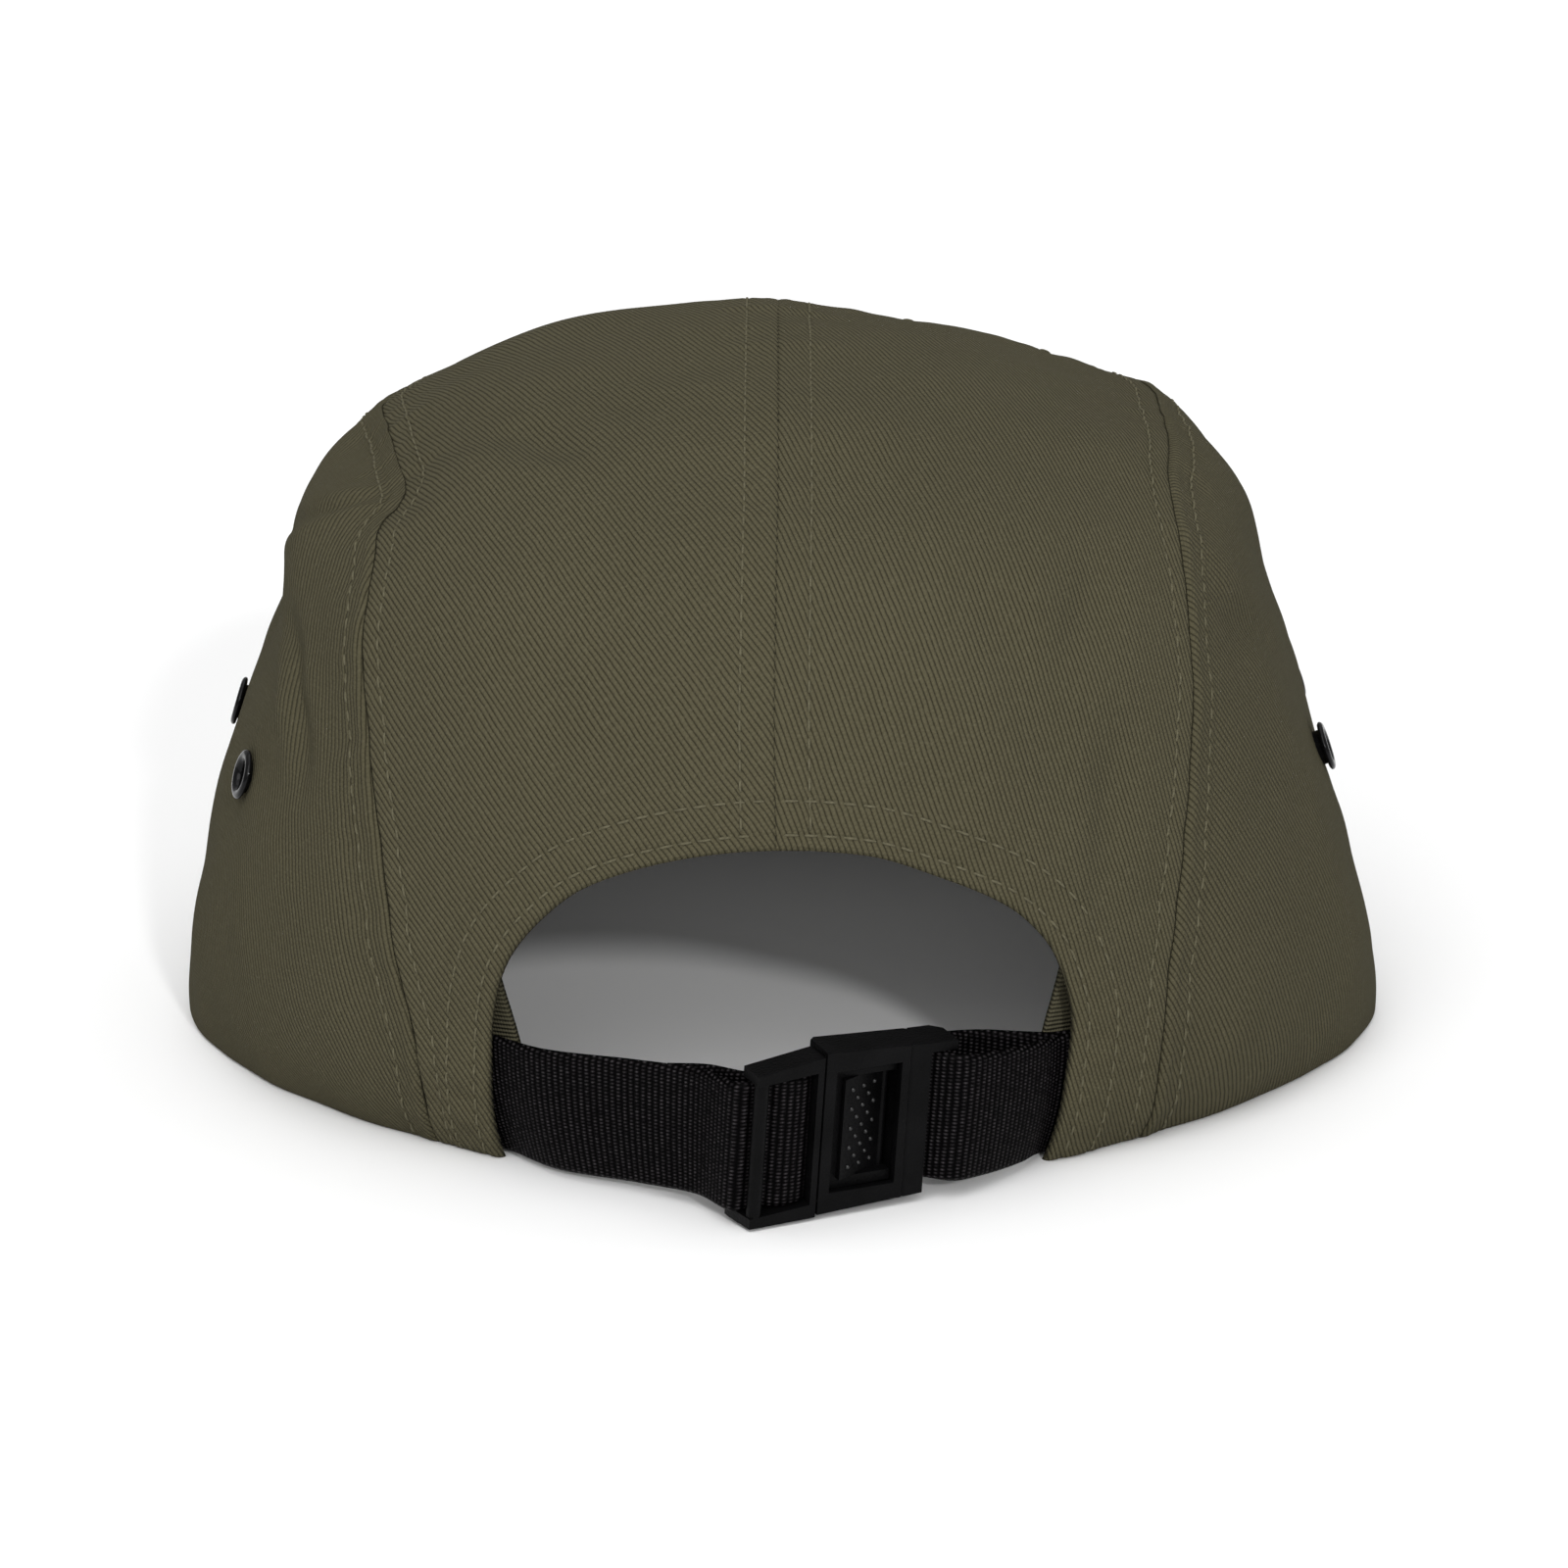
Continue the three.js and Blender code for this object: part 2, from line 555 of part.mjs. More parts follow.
// Sweatband: follows the panels inside the rim and steps in to leave room for the straps' sewn ends
function bandGeometry() {
  const columns = 56;
  const low = riseAtHeight(BAND_OFF_FLOOR);
  const high = riseAtHeight(BAND_OFF_FLOOR + BAND_HEIGHT);
  const rows = 3;
  const grid = Array.from({ length: columns + 1 }, (unused, i) => (
    Array.from({ length: rows + 1 }, (ignored, j) => new THREE.Vector2(i / columns, j / rows))));
  const rootTurn = Math.max(Math.abs(ARCH[0][0]), ARCH[ARCH.length - 1][0]) + STRAP_ROOT_TURNS;
  const at = (depth) => (spot) => {
    const turn = BAND_END_TURN + spot.x * (360 - 2 * BAND_END_TURN);
    const fromBack = Math.min(turn, 360 - turn);
    const layers = 1 - THREE.MathUtils.smoothstep(fromBack, rootTurn + 2, rootTurn + 14);
    const strapRoom = 2 * (WEBBING_THICKNESS + SEAM_GAP) * layers;
    const rise = low + (high - low) * spot.y;
    const outward = normalOf(crown, onDisc(turn, rise)).setZ(0).normalize();
    return crown(onDisc(turn, rise)).addScaledVector(outward, -(FABRIC + LINING_GAP + strapRoom + depth));
  };
  return closedWall([grid], at(0), at(BAND_THICKNESS));
}

// Clip frame
const clip = new THREE.Group();
clip.position.copy(CLIP_PLACE);
clip.rotation.set(radians(CLIP_LEAN), radians(CLIP_ROLL), radians(CLIP_YAW), 'ZXY');
clip.updateMatrix();
cap.add(clip);

const INNER_HEIGHT = WEBBING_WIDTH + 2 * CLIP_PLAY;

function formOf(x) {
  const [form, length] = x < 0 ? [PLUG_FORM, PLUG_LENGTH] : [SOCKET_FORM, SOCKET_LENGTH];
  const places = form.map((row) => row.along * length);
  return {
    rail: monotone(places, form.map((row) => row.rail))(x),
    drop: monotone(places, form.map((row) => row.drop))(x) * CLIP_HEIGHT,
  };
}

function shaped(solid) {
  return solid.warp((point) => {
    const { rail, drop } = formOf(point[0]);
    const beyond = Math.max(Math.abs(point[2]) - INNER_HEIGHT / 2, 0);
    point[2] -= Math.sign(point[2]) * beyond * (1 - rail) + drop;
  });
}
const CAVITY_FRONT = SOCKET_WALL;
const CAVITY_BACK = CLIP_DEPTH - SOCKET_WALL;
const PIN_START = SOCKET_LENGTH - PIN_INSET;
const PIN_FRONT = CAVITY_FRONT + 2 * CLIP_PLAY + WEBBING_THICKNESS;

// Socket half: a shell with a window, a cavity for the plug and a pin for the right strap's loop
function socketGeometry() {
  const chamfer = SOCKET_CHAMFER;
  const body = plate([
    [0, 0], [SOCKET_LENGTH, 0], [SOCKET_LENGTH, CLIP_DEPTH - chamfer],
    [SOCKET_LENGTH - chamfer, CLIP_DEPTH], [chamfer / 2, CLIP_DEPTH], [0, CLIP_DEPTH - chamfer / 2],
  ], CLIP_HEIGHT);
  const half = INNER_HEIGHT / 2;
  const cavity = box(-1, SOCKET_DIVIDER, CAVITY_FRONT, CAVITY_BACK, -half, half);
  const windowHalf = WINDOW_HEIGHT / 2;
  const opening = box(
    WINDOW_START, WINDOW_START + WINDOW_LENGTH, -1, CAVITY_FRONT + 0.1, -windowHalf, windowHalf);
  const roomStart = SOCKET_DIVIDER + DIVIDER_WALL;
  const loopRoom = box(roomStart, SOCKET_LENGTH + 1, CAVITY_FRONT, CLIP_DEPTH + 1, -half, half);
  const pin = box(PIN_START, PIN_START + PIN_SIZE, PIN_FRONT, PIN_FRONT + PIN_SIZE, -half - 0.5, half + 0.5);
  const hoodEnd = SOCKET_LENGTH + HOOD_LENGTH;
  const hood = plate([
    [SOCKET_LENGTH - 1, 0], [hoodEnd, 0], [hoodEnd, CLIP_DEPTH - chamfer], [hoodEnd - chamfer, CLIP_DEPTH],
    [SOCKET_LENGTH - 1, CLIP_DEPTH],
  ], CLIP_HEIGHT / 2 - half).translate(0, 0, (CLIP_HEIGHT / 2 + half) / 2);
  const shell = body.subtract(cavity).subtract(opening).subtract(loopRoom);
  return asGeometry(shaped(shell.add(pin).add(hood)));
}

// Plug half: rails, an outer and an inner bar for the left strap, a stile, and the tongue with its button
function plugGeometry() {
  const top = CLIP_HEIGHT / 2;
  const inner = INNER_HEIGHT / 2;
  const end = -CLIP_PLAY;
  const depth = CLIP_DEPTH;
  const rail = box(-PLUG_LENGTH, end, 0, depth, inner, top);
  const foot = plate([
    [-PLUG_LENGTH, 0], [end, 0], [end, depth], [-PLUG_LENGTH - PLUG_HOOK, depth],
    [-PLUG_LENGTH - PLUG_HOOK, depth * 0.8],
  ], top - inner);
  const lowRail = foot.translate(0, 0, -(top + inner) / 2);
  const outerBar = box(-PLUG_LENGTH, -PLUG_LENGTH + BAR_SIZE, 0, BAR_SIZE, -inner - 0.5, inner + 0.5);
  const innerBar = box(
    -INNER_BAR_PLACE, -INNER_BAR_PLACE + BAR_SIZE, BAR_SIZE, 2 * BAR_SIZE, -inner - 0.5, inner + 0.5);
  const stile = box(end - STILE, end, 0, CAVITY_BACK - CLIP_PLAY, -inner - 0.5, inner + 0.5);
  const tongueHalf = inner - 3 * CLIP_PLAY;
  const tongueFront = CAVITY_FRONT + CLIP_PLAY;
  const tongueEnd = SOCKET_DIVIDER - CLIP_PLAY;
  const tongue = box(end - 0.5, tongueEnd, tongueFront, CAVITY_BACK - CLIP_PLAY, -tongueHalf, tongueHalf);
  const button = plate([
    [BUTTON_START, BUTTON_PLACE], [tongueEnd, tongueFront + 0.1], [BUTTON_START, tongueFront + 0.1],
  ], BUTTON_HEIGHT);
  const ramp = plate([
    [BUTTON_START, BUTTON_PLACE], [BUTTON_START, BUTTON_PLACE - 1], [tongueEnd + 1, BUTTON_PLACE - 1],
    [tongueEnd + 1, BUTTON_PLACE + RAMP_DROP],
  ], BUTTON_HEIGHT);
  const frame = rail.add(lowRail).add(outerBar).add(innerBar).add(stile);
  return asGeometry(shaped(frame.add(tongue).add(button).subtract(ramp)));
}

// A strap is a ribbon through cross lines, each of three points from its lower edge to its upper edge
function ribbon(lines) {
  const steps = 4 * (lines.length - 1);
  const courses = [0, 1, 2].map((k) => (
    new THREE.CatmullRomCurve3(lines.map((line) => line[k]), false, 'centripetal')));
  const at = (side) => (spot) => {
    const t = spot.x / steps;
    const way = courses[1].getTangent(t).setZ(0);
    const outward = way.cross(new THREE.Vector3(0, 0, 1)).normalize();
    return courses[spot.y].getPoint(t).addScaledVector(outward, (side * WEBBING_THICKNESS) / 2);
  };
  const across = [0, 1, 2];
  const grid = Array.from({ length: steps + 1 }, (unused, i) => across.map((k) => new THREE.Vector2(i, k)));
  return closedWall([grid], at(1), at(-1));
}

function clipLine(x, y) {
  const { drop } = formOf(x);
  const heights = [-WEBBING_WIDTH / 2, 0, WEBBING_WIDTH / 2];
  return heights.map((z) => new THREE.Vector3(x, y, z - drop).applyMatrix4(clip.matrix));
}

// The strap's sewn end runs up the inside of the leg of the arch
function rootLine(turn, layer) {
  const depth = FABRIC + LINING_GAP + WEBBING_THICKNESS / 2 + layer * (WEBBING_THICKNESS + SEAM_GAP);
  return [0, 0.5, 1].map((share) => {
    const spot = onDisc(turn, riseAtHeight(STRAP_OFF_FLOOR + share * WEBBING_WIDTH));
    return crown(spot).addScaledVector(normalOf(crown, spot).setZ(0).normalize(), -depth);
  });
}

function courseLines(foot, entry, course, side) {
  const span = entry[1].clone().sub(foot[1]);
  const outward = new THREE.Vector3(-side * span.y, side * span.x, 0);
  return course.map(({ along, bow }) => (
    foot.map((point, k) => point.clone().lerp(entry[k], along).addScaledVector(outward, bow))));
}

const WEB_STEP = WEBBING_THICKNESS / 2 + CLIP_PLAY;

function leftStrap() {
  const footTurn = ARCH[0][0];
  const roots = [1, 0.5, 0].map((share) => rootLine(footTurn - share * STRAP_ROOT_TURNS, 0));
  const under = BAR_SIZE + WEB_STEP;
  const over = BAR_SIZE - WEB_STEP;
  const behind = 2 * BAR_SIZE + WEB_STEP;
  const wrapped = [
    clipLine(-PLUG_LENGTH - PLUG_HOOK - CLIP_PLAY, under),
    clipLine(-PLUG_LENGTH + BAR_SIZE, under),
    clipLine(-INNER_BAR_PLACE - 0.8, over + 0.3),
    clipLine(-INNER_BAR_PLACE + BAR_SIZE / 2, over),
    clipLine(-INNER_BAR_PLACE + BAR_SIZE + WEB_STEP * 0.8, over + WEB_STEP * 0.5),
    clipLine(-INNER_BAR_PLACE + BAR_SIZE + WEB_STEP, BAR_SIZE * 1.5),
    clipLine(-INNER_BAR_PLACE + BAR_SIZE + WEB_STEP * 0.8, behind - WEB_STEP * 0.5),
    clipLine(-INNER_BAR_PLACE + BAR_SIZE / 2, behind),
    clipLine(-PLUG_LENGTH + BAR_SIZE, behind + 0.4),
  ];
  const course = courseLines(roots[2], wrapped[0], COURSE_LEFT, -1);
  const [, before, last] = course;
  const way = last[1].clone().sub(before[1]).setZ(0).normalize();
  const inward = new THREE.Vector3(-way.y, way.x, 0).multiplyScalar(WEBBING_THICKNESS + TAIL_GAP);
  const tail = [0, TAIL_END].map((share) => (
    last.map((point, k) => point.clone().lerp(before[k], share).add(inward))));
  return ribbon([...roots, ...course, ...wrapped, ...tail]);
}

function rightStrap() {
  const footTurn = ARCH[ARCH.length - 1][0];
  const roots = [1, 0.5, 0].map((share) => rootLine(footTurn + share * STRAP_ROOT_TURNS, 0));
  const backRoots = [0, 0.5, 1].map((share) => rootLine(footTurn + share * STRAP_ROOT_TURNS, 1));
  const front = PIN_FRONT - WEB_STEP;
  const behind = PIN_FRONT + PIN_SIZE + WEB_STEP;
  const wrapped = [
    clipLine(SOCKET_LENGTH, front),
    clipLine(PIN_START + PIN_SIZE / 2, front),
    clipLine(PIN_START - WEB_STEP * 0.8, PIN_FRONT - WEB_STEP * 0.4),
    clipLine(PIN_START - WEB_STEP, PIN_FRONT + PIN_SIZE / 2),
    clipLine(PIN_START - WEB_STEP * 0.8, PIN_FRONT + PIN_SIZE + WEB_STEP * 0.4),
    clipLine(PIN_START + PIN_SIZE / 2, behind),
    clipLine(SOCKET_LENGTH + 1, behind + 1.2),
  ];
  const course = courseLines(roots[2], wrapped[0], COURSE_RIGHT, 1);
  const backCourse = courseLines(backRoots[0], wrapped[6], COURSE_RIGHT_BACK, 1);
  return ribbon([...roots, ...course, ...wrapped, ...backCourse, ...backRoots]);
}

add('front_panel', frontPanel(), olive('front_panel'));
add('side_panel_left', withEyeletHoles(sidePanel(-1, SEAM_LEFT), -1), olive('side_panel'));
add('side_panel_right', withEyeletHoles(sidePanel(1, SEAM_RIGHT), 1), olive('side_panel'));
add('back_panel_left', backPanel(-1, SEAM_LEFT, 3), olive('back_panel'));
add('back_panel_right', backPanel(1, SEAM_RIGHT, 11), olive('back_panel'));
add('peak', peakGeometry(), olive('peak'));
add('sweatband', bandGeometry(), olive('sweatband'));
add('strap_left', leftStrap(), black('strap', 0.9, 0));
add('strap_right', rightStrap(), black('strap', 0.9, 0));
add('buckle_female', socketGeometry(), black('buckle', 0.45, 0), clip);
add('buckle_male', plugGeometry(), black('buckle', 0.45, 0), clip);
for (const eyelet of EYELETS) {
  const mesh = add(eyelet.name, eyeletGeometry(), black('eyelet', 0.25, 0.8));
  placed(mesh, onDisc(eyelet.turn, eyelet.rise));
}

// The origin is the middle of the cap's box, on the surface that it stands on
cap.updateMatrixWorld(true);
const bounds = new THREE.Box3().setFromObject(cap, true);
cap.position.set(-(bounds.min.x + bounds.max.x) / 2, -(bounds.min.y + bounds.max.y) / 2, -bounds.min.z);
cap.updateMatrixWorld(true);

export default cap;
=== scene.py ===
import math

import bmesh
import bpy
import numpy as np
from mathutils import Matrix, Vector


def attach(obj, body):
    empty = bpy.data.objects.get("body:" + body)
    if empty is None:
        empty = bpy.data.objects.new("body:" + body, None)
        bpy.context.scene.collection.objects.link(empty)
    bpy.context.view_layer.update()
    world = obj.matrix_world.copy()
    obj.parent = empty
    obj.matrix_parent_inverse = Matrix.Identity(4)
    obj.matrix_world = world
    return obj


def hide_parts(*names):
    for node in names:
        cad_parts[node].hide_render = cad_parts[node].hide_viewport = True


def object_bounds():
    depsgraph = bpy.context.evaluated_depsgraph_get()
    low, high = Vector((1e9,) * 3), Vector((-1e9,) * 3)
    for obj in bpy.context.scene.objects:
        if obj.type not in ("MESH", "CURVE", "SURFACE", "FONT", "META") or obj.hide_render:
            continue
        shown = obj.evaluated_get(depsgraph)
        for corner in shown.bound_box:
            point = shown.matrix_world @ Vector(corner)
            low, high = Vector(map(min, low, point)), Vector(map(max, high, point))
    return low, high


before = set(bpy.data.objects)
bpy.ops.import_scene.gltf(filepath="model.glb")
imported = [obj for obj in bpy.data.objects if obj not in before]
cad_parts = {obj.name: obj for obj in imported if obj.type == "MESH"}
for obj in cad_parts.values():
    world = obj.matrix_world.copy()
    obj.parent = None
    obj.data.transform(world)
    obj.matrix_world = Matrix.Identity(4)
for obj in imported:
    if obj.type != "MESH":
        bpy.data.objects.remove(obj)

cad_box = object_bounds()

# Five panel cap, dressed. Lengths here are in millimetres, in the crown's own frame: the rim's middle
# is the origin, +Y runs towards the peak and +X to the right seen from behind.
HALF_WIDTH = 95
HALF_LENGTH = 86
CROWN_HEIGHT = 108.4
FABRIC = 1.4
LINING_GAP = 0.75
SEAM_GAP = 0.3
PEAK_REACH = 68
PEAK_SPREAD = 4.4
PEAK_THICKNESS = 3.4
PEAK_CAMBER = 8
PEAK_END_TURN = 122
PEAK_END_EDGE = 2
PEAK_TURN_IN = 14
PEAK_CELLS = (280, 100)
PEAK_EDGE_ROWS = (2.4, 5.0)
PEAK_ROW_START = 8.0
PEAK_ROW_PITCH = 6.4
BAND_HEIGHT = 30
BAND_THICKNESS = 1.2
BAND_OFF_FLOOR = 0.8
BAND_END_TURN = 27.5
BAND_END_SLANT = 2.6
BAND_CELLS = (520, 28)
WEBBING_WIDTH = 20
WEBBING_THICKNESS = 1.2
STRAP_OFF_FLOOR = 0.6
STRAP_ROOT_TURNS = 8
LIFT_FADE_RISE = 0.35
LEVEL_RISE = 0.05
PROBE = 0.004
STITCH_PITCH = 2.9
STITCH_LENGTH = 2.35

CLIP_PLACE = (6.4, -97.6, 13.9)
CLIP_TURNS = {"lean": 5, "roll": 1.5, "yaw": 27}
CLIP_HEIGHT = 25
CLIP_DEPTH = 6.4
CLIP_PLAY = 0.3
SOCKET_LENGTH = 17.2
HOOD_LENGTH = 4.2
SOCKET_WALL = 1.2
CHAMFER = 1.6
WINDOW_START = 1.75
WINDOW_LENGTH = 10.6
WINDOW_HEIGHT = 18.9
SOCKET_DIVIDER = 12.6
DIVIDER_WALL = 0.8
PIN_SIZE = 1.8
PIN_INSET = 2.2
PLUG_LENGTH = 10.9
PLUG_HOOK = 0.8
BAR_SIZE = 2.2
INNER_BAR_PLACE = 5.2
STILE = 1
BUTTON_START = 3.4
BUTTON_PLACE = 0.3
BUTTON_HEIGHT = 15.7
RAMP_DROP = 4.1

# The clip's outline thins towards its ends, and its plug half hangs: share of the half's length, rail height
# as a share, drop as a share of CLIP_HEIGHT
PLUG_FORM = ((-1, 0.71, 0.076), (0, 1, 0.034))
SOCKET_FORM = ((0, 1.09, 0.016), (1, 0.68, 0.008))

SECTION_NAMES = ("rise", "height", "side", "lean", "back", "front", "waist", "backCurve", "frontCurve")
SECTIONS = (
    (0.00, 0.000, 0.996, 0.004, 0.994, 1.000, 0.00, 1.61, 2.30),
    (0.12, 0.133, 0.983, 0.003, 0.991, 0.990, 0.00, 2.00, 2.30),
    (0.25, 0.298, 0.943, 0.000, 0.985, 0.975, 0.02, 2.15, 2.35),
    (0.38, 0.466, 0.883, -0.003, 0.955, 0.950, 0.04, 2.20, 2.41),
    (0.50, 0.640, 0.823, -0.006, 0.890, 0.915, 0.06, 2.24, 2.42),
    (0.55, 0.709, 0.804, -0.005, 0.836, 0.885, 0.08, 2.28, 2.42),
    (0.66, 0.832, 0.711, -0.002, 0.685, 0.800, 0.13, 2.36, 2.42),
    (0.75, 0.899, 0.582, 0.000, 0.530, 0.700, 0.17, 2.35, 2.35),
    (0.87, 0.979, 0.290, 0.000, 0.200, 0.500, 0.24, 2.12, 2.10),
    (1.00, 1.000, 0.000, 0.000, -0.290, 0.290, 0.29, 2.00, 2.00),
)

# Dents (depth above 0) and bulges as in the solid: turn, rise, end turn, end rise, width, depth
DENTS = (
    (-58, 0.680, -92, 0.660, 0.045, 0.030),
    (-82, 0.505, -98, 0.515, 0.055, 0.018),
    (-70, 0.570, -88, 0.580, 0.050, -0.010),
    (-142, 0.860, -112, 0.810, 0.080, -0.008),
    (128, 0.880, 101, 0.810, 0.085, 0.024),
    (60, 0.520, 92, 0.535, 0.050, 0.010),
    (24, 0.560, 34, 0.430, 0.040, 0.008),
)

SEAM_LEFT = (
    (-38.8, 0), (-37.9, 0.13), (-39, 0.215), (-41, 0.315), (-43.6, 0.408), (-47, 0.49),
    (-50, 0.578), (-54.5, 0.64), (-58.5, 0.69), (-73, 0.71), (-103, 0.69), (-122, 0.685),
)
SEAM_RIGHT = (
    (41, 0), (40, 0.18), (41.1, 0.263), (43.3, 0.36), (45.5, 0.42), (48.2, 0.487),
    (51, 0.575), (56, 0.65), (63, 0.69), (77, 0.713), (100, 0.712), (122, 0.685),
)
FRONT_SEAM = ((128, 0), (126, 0.35), (124, 0.55), (122, 0.685))
CROSS_MIDDLE = (180, 0.82)
ARCH = (
    (-30.5, 0), (-29.5, 0.122), (-28.8, 0.19), (-26.8, 0.253), (-23.8, 0.297), (-18.5, 0.343),
    (-10.8, 0.372), (0, 0.386), (8.5, 0.38), (15.8, 0.355), (22.5, 0.32), (26.5, 0.278),
    (28.5, 0.233), (29.5, 0.185), (29.2, 0.11), (28.8, 0),
)
ARCH_TOP = 7
HIP = 3
KNEE = 8

COURSE_LEFT = ((0.26, 0.04), (0.57, -0.02), (0.8, -0.05))
COURSE_RIGHT = ((0.23, 0.09), (0.6, 0.17), (0.86, 0.17))
COURSE_RIGHT_BACK = ((0.85, -0.06), (0.5, -0.1), (0.2, -0.03))
TAIL_END = 0.6
TAIL_SINK = 1.1
TAIL_GAP = 1

EYELETS = {
    "eyelet_left_rear": (-70, 0.352),
    "eyelet_left_front": (-91, 0.372),
    "eyelet_right_rear": (84, 0.342),
    "eyelet_right_front": (105, 0.36),
}


def monotone(xs, ys):
    """A monotone cubic through the points, as a function of arrays."""
    xs = np.asarray(xs, float)
    ys = np.asarray(ys, float)
    step = np.diff(xs)
    rate = np.diff(ys) / step
    slope = np.zeros(len(xs))

    def edge(h0, h1, m0, m1):
        value = ((2 * h0 + h1) * m0 - h0 * m1) / (h0 + h1)
        if value * m0 <= 0:
            return 0
        return 3 * m0 if m0 * m1 <= 0 and abs(value) > 3 * abs(m0) else value

    if len(xs) == 2:
        slope[:] = rate[0]
    else:
        for k in range(1, len(xs) - 1):
            if rate[k - 1] * rate[k] > 0:
                before = 2 * step[k] + step[k - 1]
                after = step[k] + 2 * step[k - 1]
                slope[k] = (before + after) / (before / rate[k - 1] + after / rate[k])
        slope[0] = edge(step[0], step[1], rate[0], rate[1])
        slope[-1] = edge(step[-1], step[-2], rate[-1], rate[-2])

    def value(x):
        x = np.clip(x, xs[0], xs[-1])
        k = np.clip(np.searchsorted(xs, x, side="right") - 1, 0, len(step) - 1)
        t = (x - xs[k]) / step[k]
        rest = 1 - t
        start = ys[k] * (1 + 2 * t) * rest**2 + slope[k] * step[k] * t * rest**2
        return start + ys[k + 1] * t**2 * (3 - 2 * t) - slope[k + 1] * step[k] * t**2 * rest

    return value


def smoothstep(x, low, high):
    t = np.clip((x - low) / (high - low), 0, 1)
    return t * t * (3 - 2 * t)


def bell(x, width):
    return np.exp(-((x / width) ** 2))


def unit(v):
    return v / np.maximum(np.linalg.norm(v, axis=-1, keepdims=True), 1e-12)


section = {
    name: monotone([row[0] for row in SECTIONS], [row[k + 1] for row in SECTIONS])
    for k, name in enumerate(SECTION_NAMES[1:])
}


def on_disc(turn, rise):
    """The crown is drawn on a flat disc: the rim is its edge, the top its middle, the back its -Y side."""
    turn = np.radians(turn)
    reach = 1 - np.asarray(rise, float)
    return np.stack([np.sin(turn) * reach, -np.cos(turn) * reach], -1)


def level_point(sine, cosine, rise):
    width = np.maximum(HALF_WIDTH * section["side"](rise), 1e-6)
    waist = section["waist"](rise)
    ahead = cosine > 0
    share = np.where(ahead, section["front"](rise) - waist, section["back"](rise) + waist)
    reach = np.maximum(share * HALF_LENGTH, 1e-6)
    power = np.where(ahead, section["frontCurve"](rise), section["backCurve"](rise))
    total = (np.abs(sine) / width) ** power + (np.abs(cosine) / reach) ** power
    radius = total ** (-1 / power)
    return section["lean"](rise) * HALF_WIDTH + radius * sine, waist * HALF_LENGTH + radius * cosine


end_turn = math.radians(PEAK_END_TURN)
peak_half_width = float(level_point(math.sin(end_turn), -math.cos(end_turn), 0)[0]) + PEAK_SPREAD


def camber(x):
    return PEAK_CAMBER * np.maximum(0, 1 - (x / peak_half_width) ** 2)


def smooth_crown(spots):
    length = np.linalg.norm(spots, axis=-1)
    radius = np.minimum(length, 1)
    rise = 1 - radius
    safe = np.maximum(length, 1e-9)
    sine = np.where(radius > 1e-9, spots[..., 0] / safe, 0)
    cosine = np.where(radius > 1e-9, spots[..., 1] / safe, 1)
    x, y = level_point(sine, cosine, rise)
    z = section["height"](rise) * CROWN_HEIGHT
    lift = camber(level_point(sine, cosine, 0)[0]) * np.maximum(0, 1 - rise / LIFT_FADE_RISE) ** 2
    return np.stack([x, y, z + np.where(cosine > 0, lift, 0)], -1)


def slopes(surface, spots):
    """How the surface moves over twice the probe, across the disc and along it."""
    return [surface(spots + step) - surface(spots - step) for step in np.eye(2) * PROBE]


def normals_of(surface, spots):
    length = np.linalg.norm(spots, axis=-1, keepdims=True)
    inside = spots * np.minimum(1, (1 - 1.5 * PROBE) / np.maximum(length, 1e-9))
    return unit(np.cross(*slopes(surface, inside)))


def dent_depth(spots):
    depth = np.zeros(spots.shape[:-1])
    for turn, rise, end, end_rise, width, share in DENTS:
        start = on_disc(turn, rise)
        line = on_disc(end, end_rise) - start
        t = np.clip(((spots - start) @ line) / (line @ line), 0, 1)
        away = np.linalg.norm(spots - start - t[..., None] * line, axis=-1) / width
        depth += share * HALF_WIDTH * np.exp(-away * away)
    return depth


def crown(spots):
    return smooth_crown(spots) - normals_of(smooth_crown, spots) * dent_depth(spots)[..., None]


def rise_at(height):
    """The crown's rise where it is this high."""
    rises = np.linspace(0, 1, 4001)
    return float(np.interp(height, section["height"](rises) * CROWN_HEIGHT, rises))


def along_of(points):
    return np.concatenate([[0], np.cumsum(np.linalg.norm(np.diff(points, axis=0), axis=-1))])


class DiscLine:
    """A smooth line on the disc through (turn, rise) points."""

    def __init__(self, points):
        spots = np.array([on_disc(turn, rise) for turn, rise in points])
        self.lengths = along_of(spots)
        self.total = self.lengths[-1]
        self.x = monotone(self.lengths, spots[:, 0])
        self.y = monotone(self.lengths, spots[:, 1])

    def share(self, index):
        return self.lengths[index] / self.total

    def at(self, shares):
        along = np.asarray(shares) * self.total
        return np.stack([self.x(along), self.y(along)], -1)


LINES = {
    "seam_left": DiscLine(SEAM_LEFT),
    "seam_right": DiscLine(SEAM_RIGHT),
    "front_left": DiscLine([(-turn, rise) for turn, rise in FRONT_SEAM]),
    "front_right": DiscLine(FRONT_SEAM),
    "centre": DiscLine((ARCH[ARCH_TOP], CROSS_MIDDLE)),
    "cross_left": DiscLine((SEAM_LEFT[-1], CROSS_MIDDLE)),
    "cross_right": DiscLine((SEAM_RIGHT[-1], CROSS_MIDDLE)),
    "arch": DiscLine(ARCH),
    "rim": DiscLine([(turn, 0) for turn in range(-180, 181, 3)]),
}


# Relief of the cloth: what the seams, hems, stitches and folds add to the crown's smooth skin
def ripple(points, seed, low, high, count=7):
    """Soft waves between two wavelengths, about -1 to 1."""
    chance = np.random.default_rng(seed)
    total = np.zeros(points.shape[:-1])
    for _ in range(count):
        way = unit(chance.normal(size=points.shape[-1]))
        wave = 2 * math.pi / chance.uniform(low, high)
        total += np.sin(points @ way * wave + chance.uniform(0, 2 * math.pi))
    return total / math.sqrt(count)


